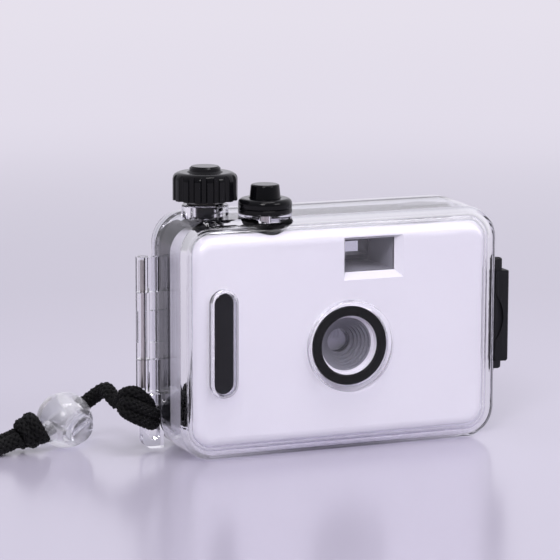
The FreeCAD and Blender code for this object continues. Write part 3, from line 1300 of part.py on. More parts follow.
def shutter():
    """Shutter board with its aperture, the swinging blade and the release lever."""
    board = plate("shutter_plate", lens_x - board_width / 2, lens_x + board_width / 2,
                  lens_z - board_height / 2, lens_z + board_height / 2, -board_y, board_thick,
                  board_corner)
    front_hole(board, lens_x, lens_z, aperture_radius, -board_y - 1, -board_y + 2)
    for x, z in ((lens_x - board_screw_x, lens_z + board_screw_z),
                 (lens_x + board_screw_x, lens_z - board_screw_z)):
        front_hole(board, x, z, screw_radius + pin_gap, -board_y - 1, -board_y + 2)
    stud = front_sketch(board, 0.2 - board_y)
    ring_mark(stud, lens_x + blade_pivot_x, lens_z + blade_pivot_z, pivot_radius)
    pad(board, stud, blade_gap + blade_thick + 0.6)

    blade = new_body("shutter_blade", lens_x + blade_pivot_x, 0, lens_z + blade_pivot_z)
    shape = front_sketch(blade, -board_y - blade_gap)
    reach_x = -blade_pivot_x
    reach_z = -blade_pivot_z
    outline(shape, [
        (-blade_foot, 0), (reach_x - blade_width, reach_z, blade_width, 1),
        (reach_x, reach_z - blade_width, blade_width, 1), (reach_x + blade_width, reach_z),
        (blade_foot + 0.2, 0), (blade_tip * 2, blade_rise), (-blade_tip, blade_rise)])
    pad(blade, shape, blade_thick)
    front_hole(blade, 0, 0, pivot_radius + pin_gap, -board_y - 3, -board_y)

    lever = new_body("release_lever", button_x + lever_pivot_x, 0, support_z)
    profile = front_sketch(lever, -board_y - blade_gap)
    arm_x = -lever_pivot_x
    outline(profile, [
        (arm_x - 1.5, lever_drop - 2.1 - 0.5), (-lever_half, -lever_half),
        (lever_tail_x - 0.9, lever_tail_z), (lever_tail_x, lever_tail_z),
        (lever_half, 0), (0, lever_half), (arm_x + 1.8, lever_drop - 0.3),
        (arm_x - 1.5, lever_drop - 0.3)])
    pad(lever, profile, lever_thick)
    front_hole(lever, 0, 0, pivot_radius + pin_gap, -board_y - 6, -board_y)


def camera_top():
    """The camera's own button, dials, viewfinder and grip."""
    button = new_body("camera_button", button_x, button_y)
    low = cam_button_top - cam_button_height
    turned(button, [
        (0, low - stem_length), (stem_radius, low - stem_length), (stem_radius, low),
        (cam_button_radius, low), (cam_button_radius, cam_button_top - 0.5),
        (cam_button_radius - 0.5, cam_button_top), (cam_button_radius - 1.4, cam_button_top),
        (cam_button_radius - 2.4, cam_button_top - 0.35), (0, cam_button_top - 0.35)])

    dial = new_body("advance_dial", knob_x, knob_y)
    turned(dial, [
        (0, dial_low + 0.4), (shaft_radius, dial_low + 0.4), (shaft_radius, dial_low),
        (dial_radius, dial_low), (dial_radius, dial_low + 0.4), (dial_radius - 2.2, dial_top),
        (0, dial_top)])
    slot = top_sketch(dial, dial_top)
    rectangle(slot, -tongue_length / 2 - slot_gap, tongue_length / 2 + slot_gap,
              -tongue_width / 2 - slot_gap, tongue_width / 2 + slot_gap)
    pocket(dial, slot, tongue_depth + 0.3)
    notch = top_sketch(dial, dial_low - 0.5)
    ring_mark(notch, dial_radius + 0.5, 0, dial_notch)
    first = pocket(dial, notch, dial_height + 1, True)
    pattern_round(dial, first, flute_count)

    counter = new_body("counter_dial", counter_x, counter_y)
    under = camera_high - roof_hole
    turned(counter, [
        (0, under - 1.1), (counter_foot, under - 1.1), (counter_foot, under - 0.3),
        (axle_radius, under - 0.3), (axle_radius, dial_low), (counter_radius, dial_low),
        (counter_radius, dial_low + counter_height - 0.2),
        (counter_radius - 0.2, dial_low + counter_height), (0, dial_low + counter_height)])

    rewind = new_body("rewind_knob", chamber_x, chamber_y)
    knob_top = dial_low + rewind_height
    turned(rewind, [
        (0, dial_low + 0.4), (shaft_radius, dial_low + 0.4), (shaft_radius, dial_low),
        (rewind_radius, dial_low), (rewind_radius, knob_top - 0.3), (rewind_radius - 0.3, knob_top),
        (0, knob_top)])
    handle = new_body("rewind_handle", chamber_x, chamber_y, knob_top)
    strip = top_sketch(handle)
    half = crank_width / 2
    end = rewind_radius - 0.6
    outline(strip, [
        (half - end, -half), (end - half, -half, half, 1), (end, 0, half, 1),
        (end - half, half), (half - end, half, half, 1), (-end, 0, half, 1)])
    pad(handle, strip, crank_thick)
    fork = new_body("rewind_fork", chamber_x, chamber_y)
    roof = chamber_high
    turned(fork, [
        (0, roof - 2), (fork_radius, roof - 2), (fork_radius, roof - 0.3),
        (shaft_radius, roof - 0.3), (shaft_radius, dial_low + 0.4), (0, dial_low + 0.4)])
    blade = top_sketch(fork, roof - fork_length)
    rectangle(blade, -fork_radius + 0.6, fork_radius - 0.6, -fork_blade, fork_blade)
    pad(fork, blade, fork_length - 1.8)

    glass_back = -camera_wall_y + joint_gap
    plate("viewfinder_front", window_left - 0.6, window_left + window_width + 0.6,
          window_low - 0.6, window_low + window_height + 0.6, glass_back, window_glass)
    tunnel_front = glass_back + window_glass
    tunnel_back = frame_back - frame_web
    tunnel = plate("viewfinder_tunnel", window_left - tunnel_wall,
                   window_left + window_width + tunnel_wall, window_low - tunnel_wall,
                   window_low + window_height + tunnel_wall, tunnel_front,
                   tunnel_back - tunnel_front - joint_gap)
    front_cut(tunnel, window_left, window_left + window_width, window_low,
              window_low + window_height, tunnel_front - 1, tunnel_back + 1)
    plate("eyepiece", eyepiece_x - eyepiece_width / 2 + 0.1, eyepiece_x + eyepiece_width / 2 - 0.1,
          eyepiece_z - eyepiece_height / 2 + 0.1, eyepiece_z + eyepiece_height / 2 - 0.1,
          housing_back - eyepiece_thick, eyepiece_thick)

    grip = new_body("grip_bar")
    face = front_sketch(grip, -camera_front)
    capsule(face, grip_x, grip_z, grip_radius, grip_height)
    pad(grip, face, grip_front - camera_front)
    rounding(grip, grip_edge, lambda spot: near(spot.y, -grip_front))


def film_transport():
    """Take-up spool, gears, sprocket and screws."""
    spool = new_body("take_up_spool", knob_x, knob_y)
    low = spool_low + spool_gap
    high = spool_high - spool_gap
    turned(spool, [
        (0, low), (spool_flange, low), (spool_flange, low + flange_thick),
        (spool_core, low + flange_thick), (spool_core, high - flange_thick),
        (spool_flange, high - flange_thick), (spool_flange, high), (shaft_radius, high),
        (shaft_radius, dial_low + 0.4), (0, dial_low + 0.4)])
    slot = top_sketch(spool, low + flange_thick)
    rectangle(slot, -film_slot, film_slot, -spool_flange, -spool_core + 1)
    pocket(spool, slot, high - low - flange_thick * 2, True)
    gear("spool_gear", knob_x, knob_y, gear_low, gear_thick, gear_root, gear_tooth,
         gear_tooth_base, gear_tooth_tip, gear_teeth, shaft_radius)
    idler = gear("idler_gear", knob_x + sprocket_x / 2, knob_y + sprocket_y / 2, gear_low,
                 gear_thick, idler_root, gear_tooth, gear_tooth_base, gear_tooth_tip,
                 idler_teeth, axle_radius + pin_gap)
    idler.setExpression("Placement.Rotation.Angle",
                        "atan2(" + sprocket_y.formula + "; " + sprocket_x.formula + ") + 180 deg / "
                        + idler_teeth.formula)

    sprocket = new_body("sprocket", knob_x + sprocket_x, knob_y + sprocket_y, lens_z)
    half_row = row_spacing / 2
    top = gear_low + gear_thick - lens_z
    end = half_row + 2.7
    turned(sprocket, [
        (0, -end - bearing_height), (axle_radius, -end - bearing_height), (axle_radius, -end),
        (sprocket_core, -end), (sprocket_core, -half_row - rim_thick / 2),
        (sprocket_rim, -half_row - rim_thick / 2), (sprocket_rim, rim_thick / 2 - half_row),
        (sprocket_core, rim_thick / 2 - half_row), (sprocket_core, half_row - rim_thick / 2),
        (sprocket_rim, half_row - rim_thick / 2), (sprocket_rim, half_row + rim_thick / 2),
        (sprocket_core, half_row + rim_thick / 2), (sprocket_core, end), (axle_radius, end),
        (axle_radius, top), (0, top)])
    for middle in (-half_row, half_row):
        tooth = top_sketch(sprocket, middle - sprocket_tooth_width / 2)
        outline(tooth, [
            (sprocket_rim - 0.3, -tooth_foot), (sprocket_rim + sprocket_tooth, -tooth_tip),
            (sprocket_rim + sprocket_tooth, tooth_tip), (sprocket_rim - 0.3, tooth_foot)])
        first = pad(sprocket, tooth, sprocket_tooth_width)
        pattern_round(sprocket, first, sprocket_teeth)
    gear("sprocket_gear", knob_x + sprocket_x, knob_y + sprocket_y, gear_low, gear_thick,
         gear_root, gear_tooth, gear_tooth_base, gear_tooth_tip, gear_teeth, axle_radius)

    screws = new_body("cover_screws")
    for x, z in cover_posts:
        head = front_sketch(screws, frame_back - 0.1)
        ring_mark(head, x, z, screw_head)
        pad(screws, head, screw_head_height - 0.1)
        shank = front_sketch(screws, frame_back - 0.2)
        ring_mark(shank, x, z, screw_radius)
        pad(screws, shank, screw_length)
    small = new_body("board_screws")
    for x, z in ((lens_x - board_screw_x, lens_z + board_screw_z),
                 (lens_x + board_screw_x, lens_z - board_screw_z)):
        head = front_sketch(small, -board_y)
        ring_mark(head, x, z, screw_head)
        pad(small, head, board_head)
        shank = front_sketch(small, 4 - board_y)
        ring_mark(shank, x, z, screw_radius)
        pad(small, shank, board_shank)


def along(z_direction, x_direction):
    """A turn whose Z and X axes point the given ways."""
    z_axis = Vector(*z_direction).normalize()
    x_axis = Vector(*x_direction)
    x_axis = (x_axis - z_axis * x_axis.dot(z_axis)).normalize()
    return Rotation(x_axis, z_axis.cross(x_axis), z_axis, "ZXY")


bore_way = Vector(-0.842, -0.255, -0.474).normalize()
toggle_turn = along((0.388, -0.898, -0.206), -bore_way)
toggle_centre = Vector(value_of(toggle_x), value_of(toggle_y), value_of(toggle_radius) + 0.05)
knot_centre = Vector(-97.2, 17.0, 7.2)
knot_way = Vector(-0.87, 0.10, -0.48).normalize()
hitch_centre = Vector(-66.85, 5.1, 13.4)
hitch_way = Vector(-0.408, 0.753, 0.516).normalize()


def toggle():
    """Clear cord toggle with its spring plunger."""
    place_at = (toggle_x, toggle_y, toggle_radius + 0.05)
    shell = new_body("toggle_body", *place_at, toggle_turn)
    bore_floor = toggle_floor - toggle_flat
    turned(shell, [
        (0, -toggle_flat), (toggle_radius * 0.5, -toggle_flat, toggle_radius + 1.3, 1),
        (toggle_radius, -toggle_band), (toggle_radius, toggle_band, toggle_radius + 0.6, 1),
        (toggle_radius * 0.71, toggle_mouth), (toggle_bore, toggle_mouth),
        (toggle_bore, bore_floor), (0, bore_floor)])
    hole = sketch_on(shell, "YZ_Plane", -toggle_radius - 1)
    ring_mark(hole, 0, 0, cord_radius + cord_gap)
    pocket(shell, hole, toggle_radius * 2 + 2, True)

    plunger = new_body("toggle_plunger", *place_at, toggle_turn)
    rear = -cord_radius - cord_gap - 0.9
    turned(plunger, [
        (0, rear), (toggle_plunger_radius, rear), (toggle_plunger_radius, toggle_proud - 0.5),
        (toggle_plunger_radius - 0.5, toggle_proud), (0, toggle_proud)])
    slot = sketch_on(plunger, "YZ_Plane", -toggle_radius - 1)
    half = cord_radius + cord_gap
    outline(slot, [
        (-half, 0, half, 1), (0, -half, half, 1), (half, 0),
        (half, toggle_stroke, half, 1), (0, toggle_stroke + half, half, 1),
        (-half, toggle_stroke)])
    pocket(plunger, slot, toggle_radius * 2 + 2, True)

    spring = new_body("toggle_spring", *place_at, toggle_turn)
    turned(spring, [
        (coil_inner, bore_floor), (coil_outer, bore_floor), (coil_outer, rear - 0.05),
        (coil_inner, rear - 0.05)])


def soft_piece(name, shape):
    piece = doc.addObject("Part::Feature", name)
    piece.Label = name
    piece.Shape = shape
    pieces.append(piece)
    return piece


def cord(name, points, radius):
    """A round cord along straight runs joined by tangent arcs."""
    edges = []
    start = points[0]
    length = 0.0
    for before, corner, after in zip(points, points[1:], points[2:]):
        first = corner - before
        second = after - corner
        turn = first.getAngle(second)
        reach = 0.45 * min(first.Length, second.Length)
        arc_start = corner - first.normalize() * reach
        arc_end = corner + second.normalize() * reach
        bend = reach / math.tan(turn / 2)
        way = (arc_start + arc_end) * 0.5 - corner
        middle = corner + way.normalize() * (bend / math.cos(turn / 2) - bend)
        edges.append(Part.LineSegment(start, arc_start).toShape())
        edges.append(Part.Arc(arc_start, middle, arc_end).toShape())
        print(name, "bend radius", round(bend, 1), "turn", round(math.degrees(turn)))
        start = arc_end
    edges.append(Part.LineSegment(start, points[-1]).toShape())
    wire = Part.Wire(edges)
    heading = (points[1] - points[0]).normalize()
    ring = Part.Wire([Part.Circle(points[0], heading, value_of(radius)).toShape()])
    tube = wire.makePipeShell([ring], True, False)
    section = math.pi * value_of(radius) ** 2
    print(name, "length", round(wire.Length, 1), "volume ratio",
          round(tube.Volume / section / wire.Length, 4))
    return soft_piece(name, tube)


def strap():
    """Black braided strap: hitch, cord, stopper knot and the loop on the table."""
    rope = value_of(wrap_wire)
    bar_x = value_of(half_width + lug_reach - lug_bar / 2) * -1
    bar_y = value_of(lug_front + lug_thick / 2)
    half_x = value_of(lug_bar) / 2 + rope + value_of(wrap_gap)
    half_y = value_of(lug_thick) / 2 + rope + value_of(wrap_gap)
    bend = rope + 0.3
    shapes = []
    for number in range(2):
        level = value_of(wrap_low) + value_of(wrap_pitch) * number
        corners = []
        for sx, sy in ((1, 1), (-1, 1), (-1, -1), (1, -1)):
            corners.append(Vector(bar_x + sx * half_x, bar_y + sy * half_y, level))
        edges = []
        for index, corner in enumerate(corners):
            before = (corners[index - 1] - corner).normalize()
            after = (corners[(index + 1) % 4] - corner).normalize()
            centre = corner + (before + after) * bend
            middle = centre - (before + after).normalize() * bend
            edges.append(Part.Arc(corner + before * bend, middle, corner + after * bend).toShape())
            following = corners[(index + 1) % 4]
            edges.append(Part.LineSegment(corner + after * bend,
                                          following - after * bend).toShape())
        wire = Part.Wire(edges)
        start = corners[0] + (corners[-1] - corners[0]).normalize() * bend
        heading = corners[0] - corners[-1]
        ring = Part.Wire([Part.Circle(start, heading, rope).toShape()])
        shapes.append(wire.makePipeShell([ring], True, False))
    bight = Part.makeTorus(value_of(hitch_ring), value_of(hitch_rope), hitch_centre,
                           Vector(0.2, 1, 0.1))
    lump = Part.makeSphere(3.3, Vector(-66.3, 5.1, 8.2))
    stub = Part.makeCylinder(value_of(cord_radius), 4.6, hitch_centre, hitch_way)
    core = Part.makeSphere(2.6, hitch_centre)
    hitch = shapes[0].multiFuse([shapes[1], bight, lump, stub, core])
    soft_piece("strap_hitch", hitch)

    start = hitch_centre + hitch_way * 4.6
    exit_point = toggle_centre + bore_way * (value_of(toggle_radius) + 0.3)
    side = Vector(0, 0, 1).cross(bore_way).normalize()
    cord("strap_cord", [
        start, start + hitch_way * 3.9, Vector(-69.7, 18.1, 19.3), toggle_centre - bore_way * 13.2,
        toggle_centre + side * value_of(cord_offset), exit_point], cord_radius)

    half = value_of(knot_half)
    wide = value_of(knot_coil) + value_of(knot_rope)
    turns = []
    for shift in (-1, 1):
        spot = knot_centre + knot_way * (shift * (half - value_of(knot_rope)) * 0.45)
        tilt = knot_way + Vector(0, 0.15 * shift, 0.1)
        turns.append(Part.makeTorus(value_of(knot_coil), value_of(knot_rope), spot, tilt))
    turns.append(Part.makeCylinder(value_of(knot_coil), half * 2, knot_centre - knot_way * half,
                                   knot_way))
    turns.append(Part.makeCylinder(value_of(cord_radius), 4.5, exit_point, bore_way))
    foot = Part.makeCylinder(wide, 1.2, knot_centre + knot_way * (half - 1.2), knot_way)
    soft_piece("strap_knot", foot.multiFuse(turns))

    level = value_of(cord_radius) + 0.05
    face = knot_centre + knot_way * half
    across = Vector(0, 0, 1).cross(knot_way).normalize() * (value_of(cord_radius) + 0.1)
    drop = (face.z - level) / -knot_way.z
    front = face + across
    rear = face - across
    cord("wrist_loop", [
        front, front + knot_way * drop, Vector(-117.2, 13.6, level), Vector(-139.5, 7.4, level),
        Vector(-163, 5.2, level), Vector(-184.6, 6.4, level), Vector(-195.4, 17, level),
        Vector(-195.2, 31.8, level), Vector(-184, 42.2, level), Vector(-158, 44.2, level),
        Vector(-133.5, 38, level), Vector(-115.3, 25.6, level), rear + knot_way * drop, rear],
        cord_radius)


front_shell()
rear_shell()
gasket()
rod("hinge_pin", hinge_x, seam_y, hinge_low + 1.2, hinge_pin_radius, hinge_high - hinge_low - 2.4)
latch()
winding_knob()
shutter_button()
camera_cover()
lens_group()
main_frame()
back_door()
door_fittings()
shutter()
camera_top()
film_transport()
toggle()
strap()
seal = doc.addObject("Part::Torus", "plunger_seal")
seal.Label = "plunger_seal"
bind(seal, "Radius1", plunger_radius + pin_gap + plunger_seal_wire)
bind(seal, "Radius2", plunger_seal_wire - 0.01)
place(seal, button_x, button_y, button_boss_top + plunger_seal_wire)
pieces.append(seal)
doc.recompute()

faults = [item.Name for item in doc.Objects if "Invalid" in item.State or "Error" in item.State]
faults += [name for name, before, after in cut_volumes if before - after < 0.001]
for piece in pieces:
    if piece.Shape.isNull() or not piece.Shape.isValid() or not piece.Shape.Solids:
        faults.append(piece.Label)
if faults:
    raise ValueError("faults in " + ", ".join(faults))

os.makedirs("parts", exist_ok=True)
for piece in pieces:
    box = piece.Shape.BoundBox
    print(piece.Label, len(piece.Shape.Solids), round(piece.Shape.Volume, 1),
          [round(edge, 2) for edge in (box.XMin, box.XMax, box.YMin, box.YMax, box.ZMin, box.ZMax)])
    piece.Shape.exportStep("parts/" + piece.Label + ".step")
print(len(pieces), "pieces,", len(sheet_rows), "driving sizes")
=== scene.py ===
import math

import bpy
from mathutils import Matrix, Vector


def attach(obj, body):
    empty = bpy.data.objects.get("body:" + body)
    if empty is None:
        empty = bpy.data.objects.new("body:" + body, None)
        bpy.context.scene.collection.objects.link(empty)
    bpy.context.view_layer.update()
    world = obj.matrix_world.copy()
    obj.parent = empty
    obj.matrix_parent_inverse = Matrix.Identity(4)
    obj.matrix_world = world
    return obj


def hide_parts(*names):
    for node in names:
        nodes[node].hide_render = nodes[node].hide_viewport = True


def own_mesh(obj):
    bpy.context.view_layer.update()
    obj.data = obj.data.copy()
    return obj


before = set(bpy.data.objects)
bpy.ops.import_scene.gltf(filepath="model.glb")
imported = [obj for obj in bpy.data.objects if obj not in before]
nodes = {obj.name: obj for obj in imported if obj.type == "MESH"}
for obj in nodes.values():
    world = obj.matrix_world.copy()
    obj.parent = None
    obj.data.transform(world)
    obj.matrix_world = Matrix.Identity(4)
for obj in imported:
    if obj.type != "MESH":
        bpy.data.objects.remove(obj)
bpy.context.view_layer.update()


# Camera at the photograph's viewing angle: turned to the case's left and raised a little.
# A long lens stands about a metre away, and holds the case at the right of the picture.
MM = 0.001
VIEW_TURN = math.radians(22.08)
VIEW_RISE = math.radians(9.93)
VIEW_ROLL = math.radians(0.18)
VIEW_DISTANCE = 968.6
VIEW_SIDEWAYS = -14.14
VIEW_UPWARDS = 53.05
FOCAL_PIXELS = 2900
PICTURE_PIXELS = 560
SENSOR = 36


def add_object(name, data):
    made = bpy.data.objects.new(name, data)
    bpy.context.scene.collection.objects.link(made)
    return made


back = Vector((-math.sin(VIEW_TURN) * math.cos(VIEW_RISE),
               -math.cos(VIEW_TURN) * math.cos(VIEW_RISE), math.sin(VIEW_RISE)))
level_right = (-back).cross(Vector((0, 0, 1))).normalized()
level_up = level_right.cross(-back)
right = level_right * math.cos(VIEW_ROLL) + level_up * math.sin(VIEW_ROLL)
up = level_up * math.cos(VIEW_ROLL) - level_right * math.sin(VIEW_ROLL)
camera_data = bpy.data.cameras.new("view")
camera_data.lens = FOCAL_PIXELS / PICTURE_PIXELS * SENSOR
camera_data.sensor_width = SENSOR
camera_data.clip_start = 0.01
camera = add_object("view", camera_data)
view_place = (back * VIEW_DISTANCE + right * VIEW_SIDEWAYS + up * VIEW_UPWARDS) * MM
view_axes = Matrix((right, up, back)).transposed()
camera.matrix_world = Matrix.Translation(view_place) @ view_axes.to_4x4()
bpy.context.scene.camera = camera


# Soft studio light: a strong box at the front left, a weaker and wider one at the right
# and a long strip overhead that draws the bright lines on the clear edges.
LAMP_COLOUR = (1.0, 0.98, 1.0)


def softbox(name, place, aim, width, height, power):
    light = bpy.data.lights.new(name, "AREA")
    light.shape = "RECTANGLE"
    light.size = width
    light.size_y = height
    light.energy = power
    light.color = LAMP_COLOUR
    lamp = add_object(name, light)
    lamp.location = place
    lamp.rotation_euler = (Vector(aim) - Vector(place)).to_track_quat("-Z", "Y").to_euler()


softbox("key_box", place=(-0.75, -1.15, 1.15), aim=(0, 0, 0.04), width=0.5, height=0.5,
        power=10.5)
softbox("fill_box", place=(0.95, -1.25, 1.15), aim=(0, 0, 0.04), width=0.8, height=0.6,
        power=7.5)
softbox("top_strip", place=(0.05, -0.25, 1.3), aim=(0, 0, 0.05), width=0.8, height=0.3,
        power=4.5)


# The table top and the space behind it, in the pale lavender of a studio sweep.
# The top is slightly glossy, so the case stands on a soft reflection, and beyond
# the case it turns into an even backdrop, which the lamps don't light.
# Its colour is painted lighter round the case, a painted light that lifts the case's shadow,
# and close to the case it glows where it is seen in mirroring or clear surfaces,
# a painted light that keeps the shadow out of them.
TURN = 2 * math.pi
TABLE_RADIUS = 6.0
TABLE_CORNERS = 96
BACKDROP_STARTS = 0.32
BACKDROP_FULL = 0.95
BACKDROP_SCALE = 0.25
PAINTED_GLOW_NEAR_CASE_FULL = 0.1


class Value:
    """A socket of a net: each operator on it adds a Math node."""

    def __init__(self, net, socket):
        self.net = net
        self.socket = socket

    def output(self, name):
        """Another output of the same node."""
        return Value(self.net, self.socket.node.outputs[name])

    def maths(self, operation, first, second=0.0):
        return self.net.node("ShaderNodeMath", {"operation": operation}, _0=first, _1=second)

    def __add__(self, other):
        return self.maths("ADD", self, other)

    def __radd__(self, other):
        return self.maths("ADD", other, self)

    def __sub__(self, other):
        return self.maths("SUBTRACT", self, other)

    def __rsub__(self, other):
        return self.maths("SUBTRACT", other, self)

    def __mul__(self, other):
        return self.maths("MULTIPLY", self, other)

    def __rmul__(self, other):
        return self.maths("MULTIPLY", other, self)

    def __truediv__(self, other):
        return self.maths("DIVIDE", self, other)

    def __rtruediv__(self, other):
        return self.maths("DIVIDE", other, self)

    def __mod__(self, other):
        return self.maths("MODULO", self, other)

    def __gt__(self, other):
        return self.maths("GREATER_THAN", self, other)

    def larger(self, other):
        return self.maths("MAXIMUM", self, other)

    def floor(self):
        return self.maths("FLOOR", self)

    def cosine(self):
        return self.maths("COSINE", self)

    def sine(self):
        return self.maths("SINE", self)


class Net:
    """A node tree whose nodes all come from one method."""

    def __init__(self, tree):
        self.tree = tree

    def node(self, kind, settings=None, result=0, **sockets):
        """A node by its type, its settings and the values or links of its sockets.

        A socket is named with underscores for spaces, or _0 for the first and so on.
        A list of links goes to a socket that takes several. A ramp's setting is its stops.
        """
        made = self.tree.nodes.new(kind)
        for key, value in (settings or {}).items():
            if key == "stops":
                set_stops(made.color_ramp, value)
            else:
                setattr(made, key, value)
        for label, value in sockets.items():
            numbered = label[1:].isdigit()
            entry = made.inputs[int(label[1:]) if numbered else label.replace("_", " ")]
            if isinstance(value, (Value, list)):
                for link in (value if isinstance(value, list) else [value]):
                    self.tree.links.new(link.socket, entry)
            else:
                entry.default_value = value
        return Value(self, made.outputs[result])


def set_stops(ramp, stops):
    first, last = ramp.elements[0], ramp.elements[1]
    first.position, first.color = stops[0]
    last.position, last.color = stops[-1]
    for position, colour in stops[1:-1]:
        ramp.elements.new(position).color = colour


class Finish(Net):
    """A material whose constants stand on the shader's own sockets."""

    def __init__(self, name, **constants):
        self.material = bpy.data.materials.new(name)
        self.material.use_nodes = True
        super().__init__(self.material.node_tree)
        self.surface = self.tree.nodes["Principled BSDF"]
        for label, value in constants.items():
            self.surface.inputs[label.replace("_", " ")].default_value = value

    def drive(self, **sockets):
        """Links values that change over the surface to the shader's sockets."""
        for label, value in sockets.items():
            self.tree.links.new(value.socket, self.surface.inputs[label.replace("_", " ")])

    def mix_in(self, shader, factor):
        """Shows another shader in place of the surface where the factor is 1."""
        mixed = self.node("ShaderNodeMixShader", _0=factor,
                          _1=Value(self, self.surface.outputs[0]), _2=shader)
        self.tree.links.new(mixed.socket, self.tree.nodes["Material Output"].inputs[0])

    def ray(self, which):
        return self.node("ShaderNodeLightPath", result=which)

    def place(self):
        return self.node("ShaderNodeTexCoord", result="Object")

    def noise(self, scale, detail, roughness=0.5):
        return self.node("ShaderNodeTexNoise", Vector=self.place(), Scale=scale, Detail=detail,
                         Roughness=roughness)

    def bump(self, height, strength, distance):
        return self.node("ShaderNodeBump", Height=height, Strength=strength, Distance=distance)

    def eased(self, value, start, full):
        """0 up to the start, 1 from the full value on."""
        return self.node("ShaderNodeMapRange", {"interpolation_type": "SMOOTHSTEP"},
                         Value=value, From_Min=start, From_Max=full)

    def ramp(self, value, *stops):
        return self.node("ShaderNodeValToRGB", {"stops": stops}, _0=value)


table_mesh = bpy.data.meshes.new("table_top")
table_edge = [(TABLE_RADIUS * math.cos(TURN * i / TABLE_CORNERS),
               TABLE_RADIUS * math.sin(TURN * i / TABLE_CORNERS), 0)
              for i in range(TABLE_CORNERS)]
table_mesh.from_pydata(table_edge, [], [tuple(range(TABLE_CORNERS))])
table = add_object("table_top", table_mesh)

sweep = Finish("studio_sweep", Roughness=0.2, Specular_IOR_Level=0.6)
distance = sweep.node("ShaderNodeVectorMath", {"operation": "LENGTH"}, result="Value",
                      _0=sweep.place())
# Painted light: the colour is lighter at the centre, under and round the case, to lift its shadow.
sweep.drive(Base_Color=sweep.ramp(
    distance, (0.0, (0.575, 0.545, 0.665, 1)), (0.12, (0.530, 0.498, 0.612, 1)),
    (0.3, (0.490, 0.460, 0.565, 1)), (1.0, (0.600, 0.570, 0.680, 1))))
backdrop = sweep.node("ShaderNodeEmission", Color=sweep.ramp(
    distance * BACKDROP_SCALE, (0.0, (0.645, 0.610, 0.725, 1)), (0.10, (0.680, 0.645, 0.745, 1)),
    (0.19, (0.755, 0.718, 0.820, 1)), (0.42, (0.790, 0.752, 0.842, 1)),
    (0.75, (0.800, 0.760, 0.850, 1))))
in_glass = sweep.ray("Is Glossy Ray").larger(sweep.ray("Is Transmission Ray"))
in_view = sweep.ray("Is Camera Ray").larger(in_glass)
far_off = sweep.eased(distance, BACKDROP_STARTS, BACKDROP_FULL)
# Painted light: within a tenth of a metre of the case the table glows in the backdrop colour for
# mirrored and see-through rays, hiding the case's shadow in them.
painted_glow_near_case = sweep.eased(distance, 0.0, PAINTED_GLOW_NEAR_CASE_FULL)
sweep.mix_in(backdrop, (far_off * in_view).larger(painted_glow_near_case * in_glass))
table.data.materials.append(sweep.material)


# The studio round the table, which lights the case softly from all sides.
# It is brightest behind the case, and brighter at the right than at the left.
SKY_IN_FRONT = 0.27
SKY_GAIN_BEHIND = 0.6
SKY_GAIN_BESIDE = 0.35
world = bpy.data.worlds.new("studio")
bpy.context.scene.world = world
world.use_nodes = True
sky = Net(world.node_tree)
sky_way = sky.node("ShaderNodeTexCoord", result="Generated")
beside = sky.node("ShaderNodeSeparateXYZ", _0=sky_way)
behind = beside.output("Y")
level_glow = (behind * 0.5 + 0.5) * SKY_GAIN_BEHIND + SKY_IN_FRONT
glow = level_glow * (1.0 + beside * SKY_GAIN_BESIDE)
background = sky.tree.nodes["Background"]
background.inputs["Color"].default_value = (0.94, 0.92, 1.0, 1)
sky.tree.links.new(glow.socket, background.inputs["Strength"])
bpy.context.scene.view_settings.view_transform = "Standard"


# Clear case shells, injection moulded in polycarbonate and polished.
# Their colour is painted darker where the wall is seen edge on, a painted shade standing for
# the dark studio mirrored there, and very slight waviness from moulding shows only in the
# highlights.
NO_MIRROR_BELOW = 0.12
FULL_MIRROR_ABOVE = 0.2
LAST_MIRRORING = 2.5


def paint(finish, *names):
    """Gives the named CAD nodes a finish."""
    for name in names:
        for entry in nodes[name].material_slots:
            entry.link = "OBJECT"
            entry.material = finish.material


def lost_or_shadow(finish):
    """Is 1 for shadow rays and for rays mirrored too often to matter."""
    lost = finish.ray("Glossy Depth") > LAST_MIRRORING
    return finish.ray("Is Shadow Ray").larger(lost)


def clear_window(finish, tint, mirror):
    """Faces seen from the front let the view through and mirror only a little."""
    open_view = finish.node("ShaderNodeBsdfTransparent", Color=tint)
    faint_mirror = finish.node("ShaderNodeBsdfAnisotropic", Roughness=0.02)
    see_through = finish.node("ShaderNodeMixShader", _0=mirror, _1=open_view, _2=faint_mirror)
    facing = finish.node("ShaderNodeLayerWeight", result="Facing", Blend=0.5)
    from_the_front = finish.node("ShaderNodeMapRange", Value=facing, From_Min=NO_MIRROR_BELOW,
                                 From_Max=FULL_MIRROR_ABOVE, To_Min=1.0, To_Max=0.0)
    finish.mix_in(see_through, lost_or_shadow(finish).larger(from_the_front))


clear = Finish("clear_polycarbonate", IOR=1.5, Transmission_Weight=1.0,
               Specular_Tint=(0.1, 0.1, 0.12, 1))
# Painted shade: the shells' colour darkens as the wall turns edge on.
painted_edge_shade = clear.node("ShaderNodeLayerWeight", result="Facing", Blend=0.5)
wave = clear.noise(scale=38.0, detail=2.0)
clear.drive(
    Base_Color=clear.ramp(painted_edge_shade, (0.45, (0.975, 0.975, 0.99, 1)), (0.62, (0.60, 0.60, 0.66, 1)),
                          (0.80, (0.62, 0.62, 0.67, 1)), (0.95, (0.66, 0.66, 0.70, 1))),
    Roughness=wave * 0.02 + 0.005,
    Normal=clear.bump(wave, strength=0.02, distance=0.0006))
clear_window(clear, tint=(0.96, 0.96, 0.975, 1), mirror=0.012)
paint(clear, "front_shell", "rear_shell")


